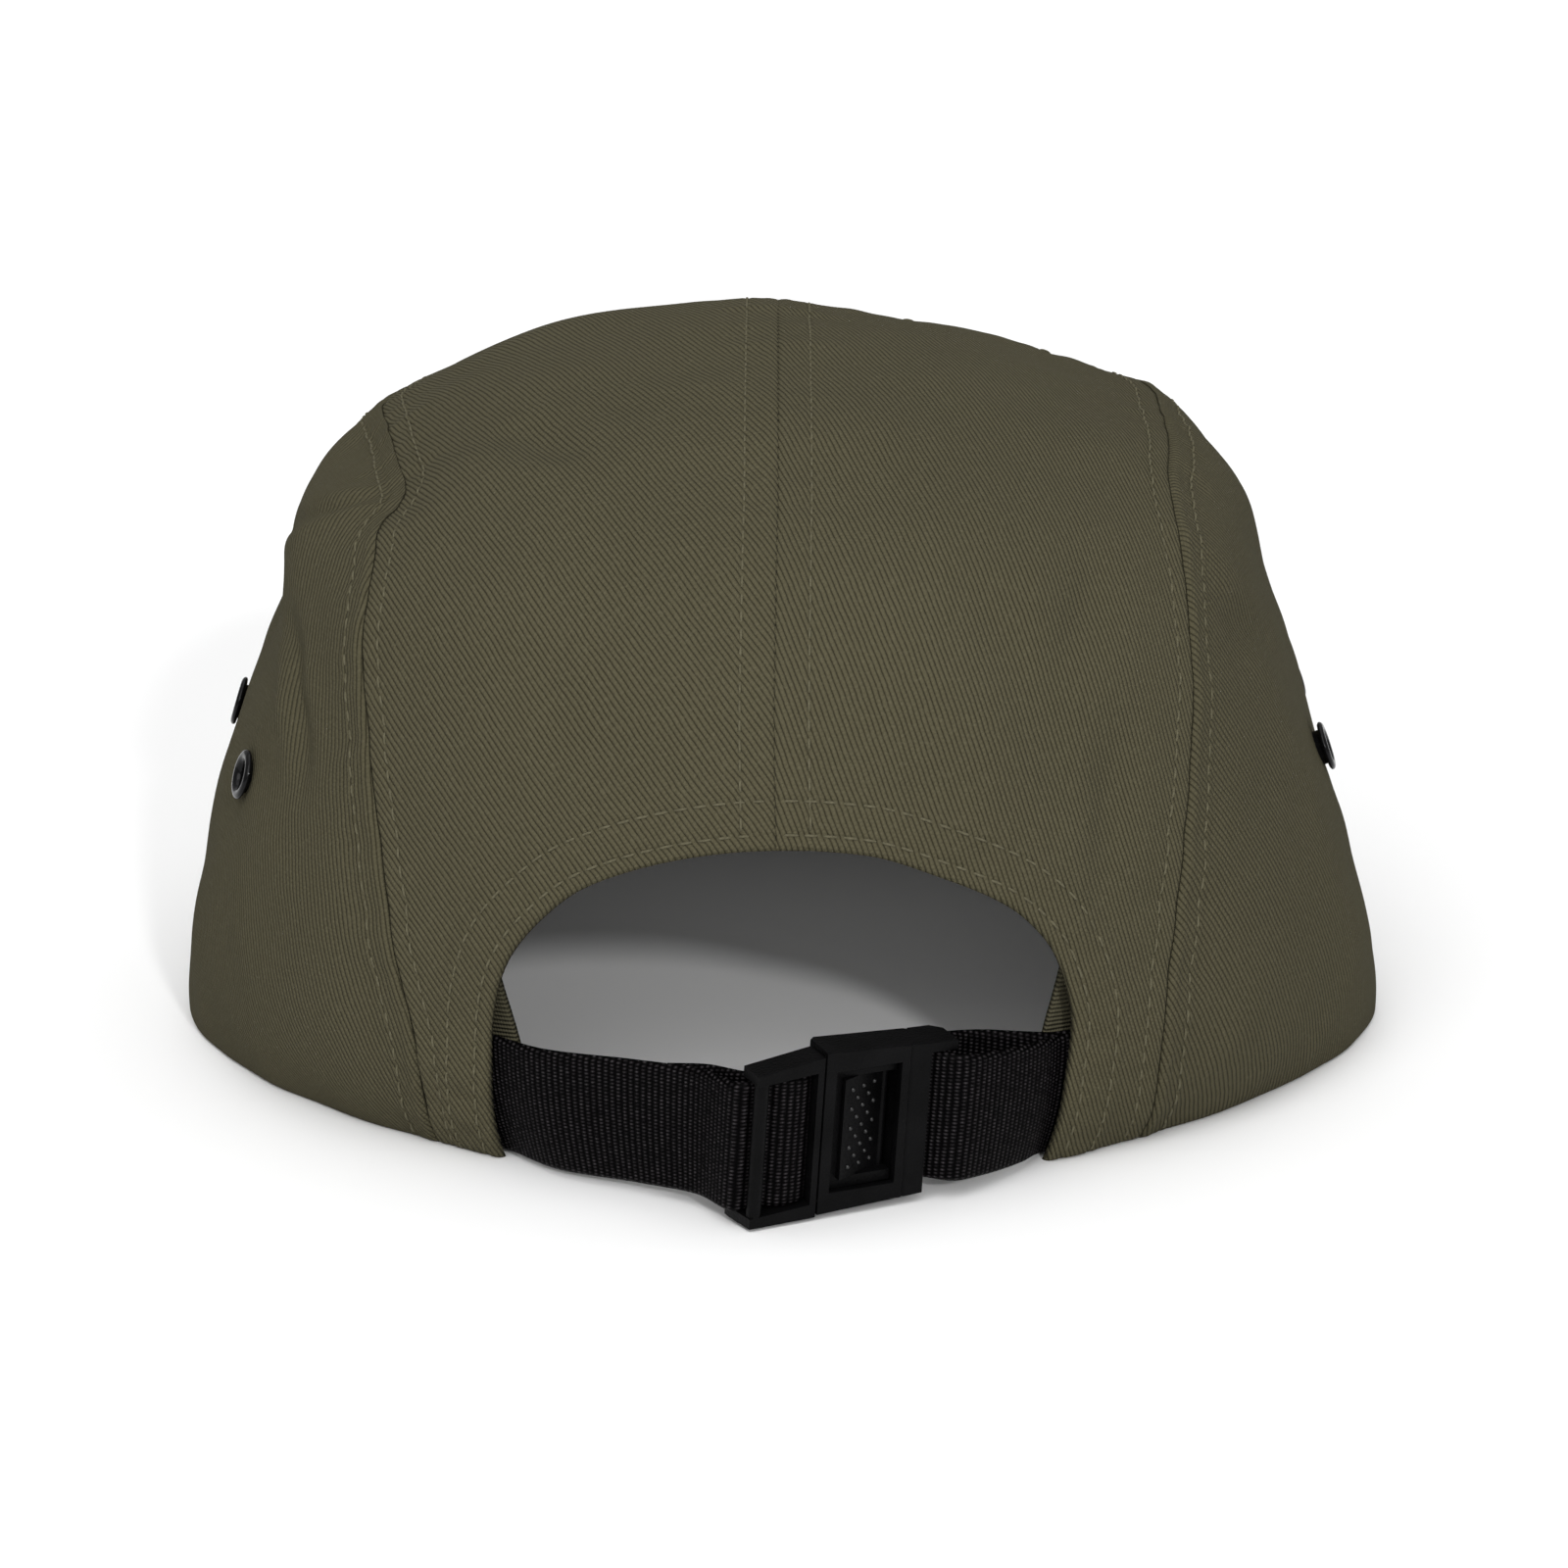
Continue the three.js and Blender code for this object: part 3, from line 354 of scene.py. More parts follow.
class Track:
    """A line through points in millimetres, to measure distances from."""

    def __init__(self, points):
        self.points = points
        self.along = along_of(points)

    def away(self, points):
        """Distance from the line, and the place along it."""
        flat = points.reshape(-1, 3)
        best = np.empty(len(flat))
        place = np.empty(len(flat))
        size = (self.points**2).sum(1)
        for k in range(0, len(flat), 20000):
            part = flat[k:k + 20000]
            near = np.argmin(size - 2 * part @ self.points.T, 1)
            gaps = []
            places = []
            for first in (np.maximum(near - 1, 0), np.minimum(near, len(self.points) - 2)):
                a = self.points[first]
                span = self.points[first + 1] - a
                t = np.clip(((part - a) * span).sum(1) / (span**2).sum(1), 0, 1)
                gaps.append(np.linalg.norm(part - a - t[:, None] * span, axis=1))
                places.append(self.along[first] + t * (self.along[first + 1] - self.along[first]))
            second = gaps[1] < gaps[0]
            best[k:k + 20000] = np.where(second, gaps[1], gaps[0])
            place[k:k + 20000] = np.where(second, places[1], places[0])
        return best.reshape(points.shape[:-1]), place.reshape(points.shape[:-1])


def skin_track(line):
    return Track(smooth_crown(line.at(np.linspace(0, 1, 500))))


TRACKS = {name: skin_track(line) for name, line in LINES.items()}

# Rows of stitches beside each seam, by panel: distance from the seam, in millimetres
LAPPED = ("side_panel_left", "side_panel_right")
PANELS = {
    "back_panel_left": {"seam_left": 3.4, "centre": 5.0, "cross_left": 3.2},
    "back_panel_right": {"seam_right": 3.4, "centre": 5.0, "cross_right": 3.2},
    "side_panel_left": {"seam_left": 4.2, "front_left": 3.2},
    "side_panel_right": {"seam_right": 4.2, "front_right": 3.2},
    "front_panel": {"front_left": 3.2, "front_right": 3.2, "cross_left": 3.2, "cross_right": 3.2},
}
ARCH_ROWS = (2.3, 7.2)
HEM_WIDTH = 8.6

# Folds where the soft cloth gives: panel, points (turn, rise), depth and width in millimetres
FOLDS = (
    ("side_panel_left", ((-59.5, 0.690), (-63.8, 0.656), (-68.2, 0.624), (-85.5, 0.574)), 1.15, 1.9),
    ("side_panel_left", ((-70, 0.515), (-64, 0.49), (-60.5, 0.455), (-57, 0.42), (-54.8, 0.38)), 1.12, 2.4),
    ("side_panel_right", ((73.5, 0.480), (64, 0.510), (56, 0.546)), 0.8, 3.0),
    ("back_panel_left", ((-53, 0.775), (-40, 0.775), (-28.8, 0.764)), 1.12, 4.0),
    ("back_panel_left", ((-30, 0.560), (-22, 0.500), (-16, 0.470)), 0.78, 5.0),
    ("back_panel_right", ((40.8, 0.634), (33.8, 0.564), (30.2, 0.498)), 1.23, 3.6),
    ("back_panel_right", ((24.2, 0.654), (26, 0.520), (30.2, 0.374)), 0.9, 4.5),
    ("back_panel_right", ((37, 0.470), (34, 0.380), (33, 0.300)), 0.9, 3.0),
)
FOLD_TRACKS = [(panel, skin_track(DiscLine(points)), depth, width) for panel, points, depth, width in FOLDS]


def valley(away, place, row):
    """The dip along a row of stitches, deeper where each stitch goes in."""
    return -(0.2 + 0.1 * np.cos(2 * math.pi * place / STITCH_PITCH)) * bell(away - row, 0.45)


def rounding(away, radius):
    """From 1 at an edge down to 0, as a round of this radius falls away."""
    return 1 - np.sqrt(1 - np.clip(1 - away / radius, 0, 1) ** 2)


def seam_relief(away, place, row, lap, crease, seed):
    line = place[..., None]
    swell = 1 + 0.3 * ripple(line, seed, 9, 26)
    relief = -crease * bell(away, 0.3) + (0.14 + lap) * swell * bell(away - 1.3, 1.0)
    relief += (0.1 + lap) * (1 - smoothstep(away, row + 0.2, row + 1.4))
    pucker = ripple(line, seed + 50, 5, 13)
    relief += 0.15 * pucker * bell(away - row, 4.2) + valley(away, place, row)
    return relief


def relief_of(panel, points):
    relief = np.zeros(points.shape[:-1])
    for k, (name, row) in enumerate(PANELS[panel].items()):
        away, place = TRACKS[name].away(points)
        lap = 0.16 if panel in LAPPED and name.startswith("seam") else 0
        crease = 0.16 if name == "centre" else 0.36
        relief += seam_relief(away, place, row, lap, crease, 11 + 7 * k)
    relief += 0.42 * ripple(points, 5, 22, 48) + 0.1 * ripple(points, 6, 8, 18)
    for owner, track, depth, width in FOLD_TRACKS:
        if owner == panel:
            away, place = track.away(points)
            fade = np.sin(math.pi * np.clip(place / track.along[-1], 0.02, 0.98)) ** 0.6
            relief += depth * fade * (0.45 * bell(away - 2.1 * width, 1.2 * width) - bell(away, width))
    if panel.startswith("back"):
        away, place = TRACKS["arch"].away(points)
        line = place[..., None]
        relief += 0.35 * (1 - smoothstep(away, HEM_WIDTH - 0.5, HEM_WIDTH + 0.7))
        relief += 0.2 * ripple(line, 31, 5, 12) * bell(away - 4.7, 1.8)
        relief += 0.22 * ripple(line, 33, 9, 20) * bell(away - 11, 4)
        for row in ARCH_ROWS:
            relief += valley(away, place, row)
        relief -= 0.75 * rounding(away, 1.1)
    away, place = TRACKS["rim"].away(points)
    relief += 0.1 * ripple(place[..., None], 41, 7, 15) * bell(away - 6, 4)
    return relief - 0.6 * rounding(away, 1.0)


def levelled(spots):
    """The crown's normals, and the same ones laid level towards the rim."""
    normal = normals_of(crown, spots)
    out = normal.copy()
    out[..., 2] *= smoothstep(1 - np.linalg.norm(spots, axis=-1), 0, LEVEL_RISE)
    return normal, unit(out)


def cloth(panel, spots, lift=0.0):
    """Points on a panel's dressed outer face, and the crown's normals there."""
    base = crown(spots)
    normal, out = levelled(spots)
    return base + out * (relief_of(panel, base) + lift)[..., None], normal


# Mesh helpers
middle_y = cad_box[1].y * 1000 - HALF_LENGTH - PEAK_REACH
SHIFT = np.array(Vector((-section["lean"](0) * HALF_WIDTH, middle_y, 0)))


def linked(name, data):
    """A new object in the scene."""
    thing = bpy.data.objects.new(name, data)
    bpy.context.collection.objects.link(thing)
    return thing


def mesh_of(name, points, faces):
    """A mesh from points in millimetres."""
    mesh = bpy.data.meshes.new(name)
    mesh.from_pydata((np.array(points, float) / 1000).tolist(), [], faces)
    return mesh


def points_of(mesh):
    """A mesh's vertices, in millimetres."""
    points = np.empty(3 * len(mesh.vertices))
    mesh.vertices.foreach_get("co", points)
    return points.reshape(-1, 3) * 1000


def corners_of(mesh):
    """The vertex at each corner of each face."""
    corners = np.empty(len(mesh.loops), int)
    mesh.loops.foreach_get("vertex_index", corners)
    return corners


def smooth(mesh):
    mesh.update()
    mesh.polygons.foreach_set("use_smooth", [True] * len(mesh.polygons))


def dressed(piece, material, nodes):
    """Gives a piece its material; it rides on the cap and stands for its CAD nodes."""
    piece.data.materials.clear()
    piece.data.materials.append(material)
    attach(piece, "root")
    if nodes:
        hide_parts(*nodes)
    return piece


def new_piece(name, points, faces, material, nodes):
    mesh = mesh_of(name, points.reshape(-1, 3) + SHIFT, faces)
    mesh.validate()
    smooth(mesh)
    return dressed(linked(name, mesh), material, nodes)


def set_uv(piece, uv):
    """uv holds one pair for each vertex."""
    layer = piece.data.uv_layers.new(name="UVMap")
    layer.data.foreach_set("uv", uv.reshape(-1, 2)[corners_of(piece.data)].ravel())


def eased(count, ease):
    """Shares from 0 to 1 that lie closer together near both ends."""
    t = np.linspace(0, 1, count + 1)
    return (1 - ease) * t + ease * (1 - np.cos(math.pi * t)) / 2


def patch(bottom, right, top, left):
    """A grid of disc spots spanned between four sides that share their corners."""
    u = np.linspace(0, 1, len(bottom))[:, None, None]
    v = np.linspace(0, 1, len(left))[None, :, None]
    grid = bottom[:, None] * (1 - v) + top[:, None] * v + left[None] * (1 - u) + right[None] * u
    grid = grid - bottom[0] * (1 - u) * (1 - v) - bottom[-1] * u * (1 - v)
    return grid - top[0] * (1 - u) * v - top[-1] * u * v


def grid_faces(grids):
    """Quads over grids of disc spots, with spots that coincide joined; all face out of the crown."""
    spots = np.concatenate([grid.reshape(-1, 2) for grid in grids])
    first, index = np.unique(np.round(spots, 7), axis=0, return_index=True, return_inverse=True)[1:]
    index = index.ravel()
    quads = []
    start = 0
    for grid in grids:
        n, m = grid.shape[:2]
        ids = index[start:start + n * m].reshape(n, m)
        start += n * m
        quads.append(np.stack([ids[:-1, :-1], ids[1:, :-1], ids[1:, 1:], ids[:-1, 1:]], -1).reshape(-1, 4))
    quads = np.concatenate(quads)
    spots = spots[first]
    a, b, c, d = (spots[quads[:, k]] for k in range(4))
    p = c - a
    q = d - b
    turned = p[:, 0] * q[:, 1] - p[:, 1] * q[:, 0] < 0
    quads[turned] = quads[turned][:, ::-1]
    return spots, quads


def border(quads):
    """The next vertex along the open edge, for each vertex on it."""
    starts = quads.ravel()
    ends = np.roll(quads, -1, 1).ravel()
    pairs = set(zip(starts.tolist(), ends.tolist()))
    return {a: b for a, b in pairs if (b, a) not in pairs}


COARSE = 4


def wall(panel, grids):
    """A closed cloth wall: a fine dressed outer face, a coarser inner face, and the edge between them."""
    spots, quads = grid_faces(grids)
    inner_spots, inner_quads = grid_faces([grid[::COARSE, ::COARSE] for grid in grids])
    outer = cloth(panel, spots)[0]
    inner = crown(inner_spots) - levelled(inner_spots)[1] * (FABRIC - 0.1)
    count = len(spots)
    faces = [tuple(q) for q in quads.tolist()]
    faces += [tuple(count + k for k in reversed(q)) for q in inner_quads.tolist()]
    fine_next = border(quads)
    coarse_next = border(inner_quads)
    known = {tuple(key): k for k, key in enumerate(np.round(spots, 7).tolist())}
    twin = {k: known[tuple(np.round(inner_spots[k], 7).tolist())] for k in coarse_next}
    for a, b in coarse_next.items():
        path = [twin[a]]
        while path[-1] != twin[b]:
            path.append(fine_next[path[-1]])
        half = len(path) // 2
        for k in range(len(path) - 1):
            tip = count + (a if k < half else b)
            faces.append((path[k + 1], path[k], tip))
        faces.append((path[half], count + a, count + b))
    return np.concatenate([outer, inner]), faces, len(quads)


def level_line(start, end, shares):
    turn = start + (end - start) * np.asarray(shares)
    return on_disc(turn, np.zeros(len(turn)))


# Cells of the panels' grids, all multiples of COARSE
LEG_CELLS, HIP_CELLS, ARCH_CELLS, BODY_CELLS = 44, 112, 148, 248
SIDE_CELLS = (216, 248)
FRONT_CELLS = (160, 132)


def back_grids(hand, seam_points, foot, shoulder):
    """foot is the arch's end on this side, 0 or 1; shoulder is the arch's point beside the seam's hip."""
    seam, cross, arch = LINES["seam_" + hand], LINES["cross_" + hand], LINES["arch"]
    hip = seam.share(HIP)
    seam_low = seam.at(hip * eased(HIP_CELLS, 0))
    seam_high = seam.at(hip + (1 - hip) * eased(BODY_CELLS, 0.35))
    t = eased(LEG_CELLS, 0.6)
    rim = level_line(seam_points[0][0], ARCH[-foot][0], t)
    at_hip = arch.share(shoulder)
    leg_edge = arch.at(foot + (at_hip - foot) * eased(HIP_CELLS, 0))
    arch_edge = arch.at(at_hip + (arch.share(ARCH_TOP) - at_hip) * eased(ARCH_CELLS, 0.15))
    crossing = seam_low[-1] * (1 - t[:, None]) + arch_edge[0] * t[:, None]
    centre = LINES["centre"].at(eased(BODY_CELLS, 0.35))
    low = np.concatenate([crossing, arch_edge[1:]])
    high = cross.at(eased(LEG_CELLS + ARCH_CELLS, 0.45))
    return [patch(rim, leg_edge, crossing, seam_low), patch(low, centre, high, seam_high)]


def side_grids(hand, seam_points, side):
    low, wide = SIDE_CELLS
    seam, front = LINES["seam_" + hand], LINES["front_" + hand]
    knee = seam.share(KNEE)
    rim = level_line(seam_points[0][0], FRONT_SEAM[0][0] * side, eased(wide, 0.55))
    top = seam.at(knee + (1 - knee) * eased(wide, 0.45))
    return [patch(rim, front.at(eased(low, 0.4)), top, seam.at(knee * eased(low, 0.4)))]


def front_grids():
    low, wide = FRONT_CELLS
    left, right = (LINES[name].at(eased(low, 0.4)) for name in ("front_left", "front_right"))
    t = np.linspace(0, 1, wide + 1)
    top = np.concatenate([LINES["cross_left"].at(t)[:-1], LINES["cross_right"].at(1 - t)])
    rim = level_line(-FRONT_SEAM[0][0], FRONT_SEAM[0][0] - 360, eased(2 * wide, 0.3))
    return [patch(rim, right, top, left)]


# Materials
class Maker:
    """Builds one node material, a node or a sum at a time."""

    def __init__(self, name):
        self.material = bpy.data.materials.new(name)
        self.material.use_nodes = True
        self.nodes = self.material.node_tree.nodes
        self.where = self.nodes.new("ShaderNodeTexCoord")

    def fill(self, node, inputs):
        for key, value in inputs.items():
            if isinstance(value, bpy.types.NodeSocket):
                self.material.node_tree.links.new(value, node.inputs[key])
            else:
                node.inputs[key].default_value = value

    def put(self, kind, inputs, out=0, **settings):
        node = self.nodes.new(kind)
        for key, value in settings.items():
            setattr(node, key, value)
        self.fill(node, inputs)
        return node.outputs[out]

    def maths(self, kind, *values):
        return self.put("ShaderNodeMath", dict(enumerate(values)), operation=kind)

    def times(self, a, b):
        return self.maths("MULTIPLY", a, b)

    def hump(self, value):
        """A round rise and fall over each whole step."""
        return self.maths("SINE", self.times(self.maths("FRACT", value), math.pi))

    def mix(self, share, *colours):
        low, high = (c if isinstance(c, bpy.types.NodeSocket) else (*c, 1) for c in colours)
        return self.put("ShaderNodeMix", {0: share, 6: low, 7: high}, 2, data_type="RGBA")

    def noise(self, scale, detail=2.0):
        inputs = {"Vector": self.where.outputs["Object"], "Scale": scale, "Detail": detail}
        return self.put("ShaderNodeTexNoise", inputs)

    def directions(self):
        """The two directions of the UV map."""
        return [self.put("ShaderNodeSeparateXYZ", {0: self.where.outputs["UV"]}, out) for out in (0, 1)]

    def ramp(self, value, low, high):
        return self.put("ShaderNodeMapRange", {0: value, 1: low, 2: high})

    def finish(self, colour, roughness, height=None, depth=0.0, **values):
        """Sets the surface, raised by height times depth, in metres."""
        inputs = {name.replace("_", " "): value for name, value in values.items()}
        if height is not None:
            bump = {"Height": height, "Distance": depth, "Strength": 1.0}
            inputs["Normal"] = self.put("ShaderNodeBump", bump)
        self.fill(self.nodes["Principled BSDF"], {"Base Color": colour, "Roughness": roughness, **inputs})
        return self.material


# The darkest olive below is painted shade, coloured into the twill's rib valleys.
OLIVE_VALLEY_SHADE = (0.026, 0.0233, 0.014)
OLIVE = (0.082, 0.0741, 0.0447)
OLIVE_LIGHT = (0.105, 0.096, 0.060)
TWILL_PITCH = 0.8
TWILL_BEAD = 0.62
BAND_PITCH = 0.58
BAND_THREAD = 0.5
WEB_COLUMN = 1.0
WEB_BEAD = 0.57
WEB_STEPS = 5
WEB_ACROSS = 34


def twill_material(name, painted_shade_scale):
    """Cotton twill. The UV map is in millimetres, with the ribs along U. The rib valleys are coloured darker
    as painted shade, and the second argument scales the whole colour down as painted shade for panels turned
    away from the light.
    """
    make = Maker(name)
    along, across = make.directions()
    wander = make.times(make.noise(260.0, 3.0), 0.5)
    ribs = make.maths("ADD", make.maths("DIVIDE", across, TWILL_PITCH), wander)
    rib = make.maths("POWER", make.hump(ribs), 0.8)
    row = make.times(make.maths("FLOOR", ribs), 0.41)
    bead = make.hump(make.maths("ADD", make.maths("DIVIDE", along, TWILL_BEAD), row))
    height = make.times(rib, make.maths("MULTIPLY_ADD", bead, 0.35, 0.65))
    height = make.maths("MULTIPLY_ADD", make.noise(2600.0), 0.25, height)
    # The second argument darkens every colour alike, as painted shade.
    painted_valley_shade, middle, light = (np.array(colour) * painted_shade_scale for colour in (OLIVE_VALLEY_SHADE, OLIVE, OLIVE_LIGHT))
    body = make.mix(make.ramp(make.noise(34.0, 4.0), 0.25, 0.75), middle * 0.92, middle)
    # Painted shade: the rib valleys are coloured darker than the rib tops.
    shade = make.mix(make.ramp(height, 0.1, 0.75), painted_valley_shade, body)
    speck = make.times(make.ramp(make.noise(1500.0, 1.0), 0.52, 0.75), 0.35)
    return make.finish(make.mix(speck, shade, light), 0.93, height, 0.00028,
                       Sheen_Weight=0.01, Sheen_Roughness=0.5, Specular_IOR_Level=0.02)


def thread_material():
    make = Maker("thread")
    shade = make.ramp(make.noise(1800.0), 0.3, 0.7)
    colour = make.mix(shade, (0.078, 0.071, 0.044), (0.112, 0.103, 0.066))
    return make.finish(colour, 0.8, make.noise(4000.0, 1.0), 0.0001,
                       Sheen_Weight=0.01, Specular_IOR_Level=0.06)


def band_material():
    """Ribbed tape: the ribs run along it. Its colour darkens in the valleys between ribs, as painted shade.
    """
    make = Maker("band")
    along, across = make.directions()
    wander = make.times(make.noise(300.0), 0.25)
    ribs = make.maths("ADD", make.maths("DIVIDE", across, BAND_PITCH), wander)
    threads = make.maths("SINE", make.times(along, 2 * math.pi / BAND_THREAD))
    height = make.maths("MULTIPLY_ADD", threads, 0.12, make.hump(ribs))
    # Painted shade: darker colour in the rib valleys, lighter on the rib tops.
    colour = make.mix(make.ramp(height, 0.1, 0.9), (0.036, 0.0325, 0.02), (0.086, 0.079, 0.051))
    return make.finish(colour, 0.9, height, 0.0003, Sheen_Weight=0.01, Specular_IOR_Level=0.03)


def webbing_material():
    """Webbing: its columns lie side by side along U, each a string of beads. The bead tops are coloured
    light as a painted highlight that varies at random from bead to bead; between them the colour stays near
    black.
    """
    make = Maker("webbing")
    along, across = make.directions()
    column = make.maths("DIVIDE", along, WEB_COLUMN)
    beads = make.maths("DIVIDE", across, WEB_BEAD)
    down = make.maths("MULTIPLY_ADD", make.maths("FLOOR", column), 0.26, beads)
    top = make.times(*(make.maths("POWER", make.hump(place), 3.0) for place in (column, down)))
    height = make.maths("MULTIPLY_ADD", make.noise(3500.0), 0.3, top)
    # Painted highlight: the bead tops are lightened in the colour, more on some beads than others.
    painted_glint = make.ramp(make.noise(1300.0), 0.35, 0.7)
    painted_highlight = make.times(make.maths("MULTIPLY_ADD", painted_glint, 0.8, 0.2), top)
    colour = make.mix(painted_highlight, (0.0006, 0.0005, 0.0006), (0.05, 0.045, 0.048))
    return make.finish(colour, 0.45, height, 0.00012, Specular_IOR_Level=0.02)


def plastic_material(name, gloss):
    make = Maker(name)
    shade = make.ramp(make.noise(150.0, 3.0), 0.3, 0.7)
    colour = make.mix(shade, (0.0016, 0.0016, 0.0017), (0.0034, 0.0033, 0.0036))
    roughness = make.maths("MULTIPLY_ADD", make.noise(400.0), 0.12, 0.34)
    return make.finish(colour, roughness, make.noise(2200.0, 3.0), 0.00008, Specular_IOR_Level=gloss)


def metal_material():
    make = Maker("eyelet")
    colour = make.mix(make.noise(300.0), (0.002, 0.002, 0.0022), (0.005, 0.005, 0.0055))
    roughness = make.maths("MULTIPLY_ADD", make.noise(700.0, 3.0), 0.15, 0.12)
    return make.finish(colour, roughness, make.noise(900.0), 0.00002,
                       Specular_IOR_Level=0.13, Coat_Weight=0.05, Coat_Roughness=0.08)


twill = twill_material("twill", 1.0)
# The side panels get a darker copy of the twill, as painted shade for panels turned away from the light.
side_twill_painted_shade = twill_material("side_twill_painted_shade", 0.92)
thread = thread_material()
band_cloth = band_material()
webbing = webbing_material()
plastic = plastic_material("clip", 0.06)
worn_plastic = plastic_material("clip_worn", 0.55)
metal = metal_material()

# The way that the twill's ribs run on each panel: degrees below level, towards the right
RIB_ANGLES = {
    "back_panel_left": 54,
    "back_panel_right": 69,
    "side_panel_left": 56,
    "side_panel_right": 72,
    "front_panel": 60,
}

# The back panels' fan: its axis (Y, Z), the height where the steeper share starts, and that share
FAN_AXIS = (100, -60)
FAN_CHANGE = 55
FANNED = {"back_panel_left": 0.62, "back_panel_right": 0.15}


def fan_map(points, steeper):
    """Flattens a back panel about the centre seam, in slices that fan out from an axis low in front."""
    ahead = np.linspace(-0.985, 1 - CROSS_MIDDLE[1], 400)
    middle = crown(np.stack([0 * ahead, ahead], -1))
    reach, low = FAN_AXIS
    turns = np.arctan2(middle[:, 2] - low, reach - middle[:, 1])
    up = np.interp(np.arctan2(points[:, 2] - low, reach - points[:, 1]), turns, along_of(middle))
    up = up - steeper * np.maximum(up - FAN_CHANGE, 0) ** 2 / (2 * (along_of(middle)[-1] - FAN_CHANGE))
    return points[:, 0] * (1 + 0.12 * (points[:, 0] / 60) ** 2) + 1j * up


def flat_map(piece, outer_faces):
    """Blender's own unwrap of the outer faces, turned upright and sized in millimetres."""
    mesh = piece.data
    bpy.ops.object.select_all(action="DESELECT")
    piece.select_set(True)
    bpy.context.view_layer.objects.active = piece
    bpy.ops.object.mode_set(mode="EDIT")
    bpy.ops.mesh.select_all(action="DESELECT")
    bpy.ops.object.mode_set(mode="OBJECT")
    mesh.polygons.foreach_set("select", np.arange(len(mesh.polygons)) < outer_faces)
    bpy.ops.object.mode_set(mode="EDIT")
    bpy.ops.uv.unwrap(method="CONFORMAL", margin=0)
    bpy.ops.object.mode_set(mode="OBJECT")
    uv = np.empty(2 * len(mesh.loops))
    mesh.uv_layers["UVMap"].data.foreach_get("uv", uv)
    numbers = uv[::2] + 1j * uv[1::2]
    first = mesh.polygons[outer_faces].loop_start
    places = points_of(mesh)[corners_of(mesh)[:first]]
    low = places[:, 2] < 0.6 * CROWN_HEIGHT
    middle = places[low].mean(0)
    out = unit(np.array([middle[0], middle[1] + 25, 0.0]))
    wanted = (places[low] - middle) @ (-out[1], out[0], 0.0) + 1j * (places[low, 2] - middle[2])
    centre = numbers[:first][low].mean()
    got = numbers[:first][low] - centre
    spin, flipped = ((way * wanted).sum() / (np.abs(got) ** 2).sum() for way in (np.conj(got), got))
    numbers = numbers - centre
    return np.conj(numbers) * flipped if abs(flipped) > abs(spin) else numbers * spin


def panel_piece(name, grids):
    points, faces, outer_faces = wall(name, grids)
    # The side panels take the twill copy with painted shade.
    material = side_twill_painted_shade if name in LAPPED else twill
    piece = new_piece(name + "_cloth", points, faces, material, (name,))
    mesh = piece.data
    mesh.uv_layers.new(name="UVMap")
    if name in FANNED:
        numbers = fan_map(points_of(mesh)[corners_of(mesh)] - SHIFT, FANNED[name])
    else:
        numbers = flat_map(piece, outer_faces)
    numbers = numbers * np.exp(1j * math.radians(RIB_ANGLES[name]))
    mesh.uv_layers["UVMap"].data.foreach_set("uv", np.stack([numbers.real, numbers.imag], -1).ravel())


panel_piece("back_panel_left", back_grids("left", SEAM_LEFT, 0, 3))
panel_piece("back_panel_right", back_grids("right", SEAM_RIGHT, 1, 11))
panel_piece("side_panel_left", side_grids("left", SEAM_LEFT, -1))
panel_piece("side_panel_right", side_grids("right", SEAM_RIGHT, 1))
panel_piece("front_panel", front_grids())


# Stitches
def beside(name, distance, start, end):
    """Disc spots that run this far from a line, measured on the crown; plus lies to its left."""
    spots = LINES[name].at(np.linspace(start, end, 400))
    way = unit(np.gradient(smooth_crown(spots), axis=0))
    aside = np.cross(normals_of(smooth_crown, spots), way) * distance
    across, along = (slope / (2 * PROBE) for slope in slopes(smooth_crown, spots))
    pairs = ((across, across), (across, along), (along, along), (across, aside), (along, aside))
    a, b, c, p, q = ((first * second).sum(1) for first, second in pairs)
    det = a * c - b * b
    offset = np.stack([(c * p - b * q) / det, (a * q - b * p) / det], -1)
    for _ in range(2):
        reached = TRACKS[name].away(smooth_crown(spots + offset))[0]
        offset *= np.clip(abs(distance) / reached, 0.7, 1.4)[:, None]
    return spots + offset


def stitch_row(points, normals):
    """Frames for the stitches along a line: middle, way and normal."""
    along = along_of(points)
    starts = np.arange(0.4, along[-1] - STITCH_LENGTH, STITCH_PITCH)

    def at(values, place):
        return np.stack([np.interp(place, along, values[:, k]) for k in range(3)], -1)

    first = at(points, starts)
    last = at(points, starts + STITCH_LENGTH)
    normal = unit(at(normals, starts + STITCH_LENGTH / 2))
    middle = at(points, starts + STITCH_LENGTH / 2)
    return middle, unit(last - first), normal


def tube_faces(rings, sides):
    """Quads between rings that follow one another."""
    i, k = np.meshgrid(np.arange(rings - 1) * sides, np.arange(sides), indexing="ij")
    n = (k + 1) % sides
    quads = np.stack([i + k, i + n, i + sides + n, i + sides + k], -1)
    return [tuple(quad) for quad in quads.reshape(-1, 4).tolist()]


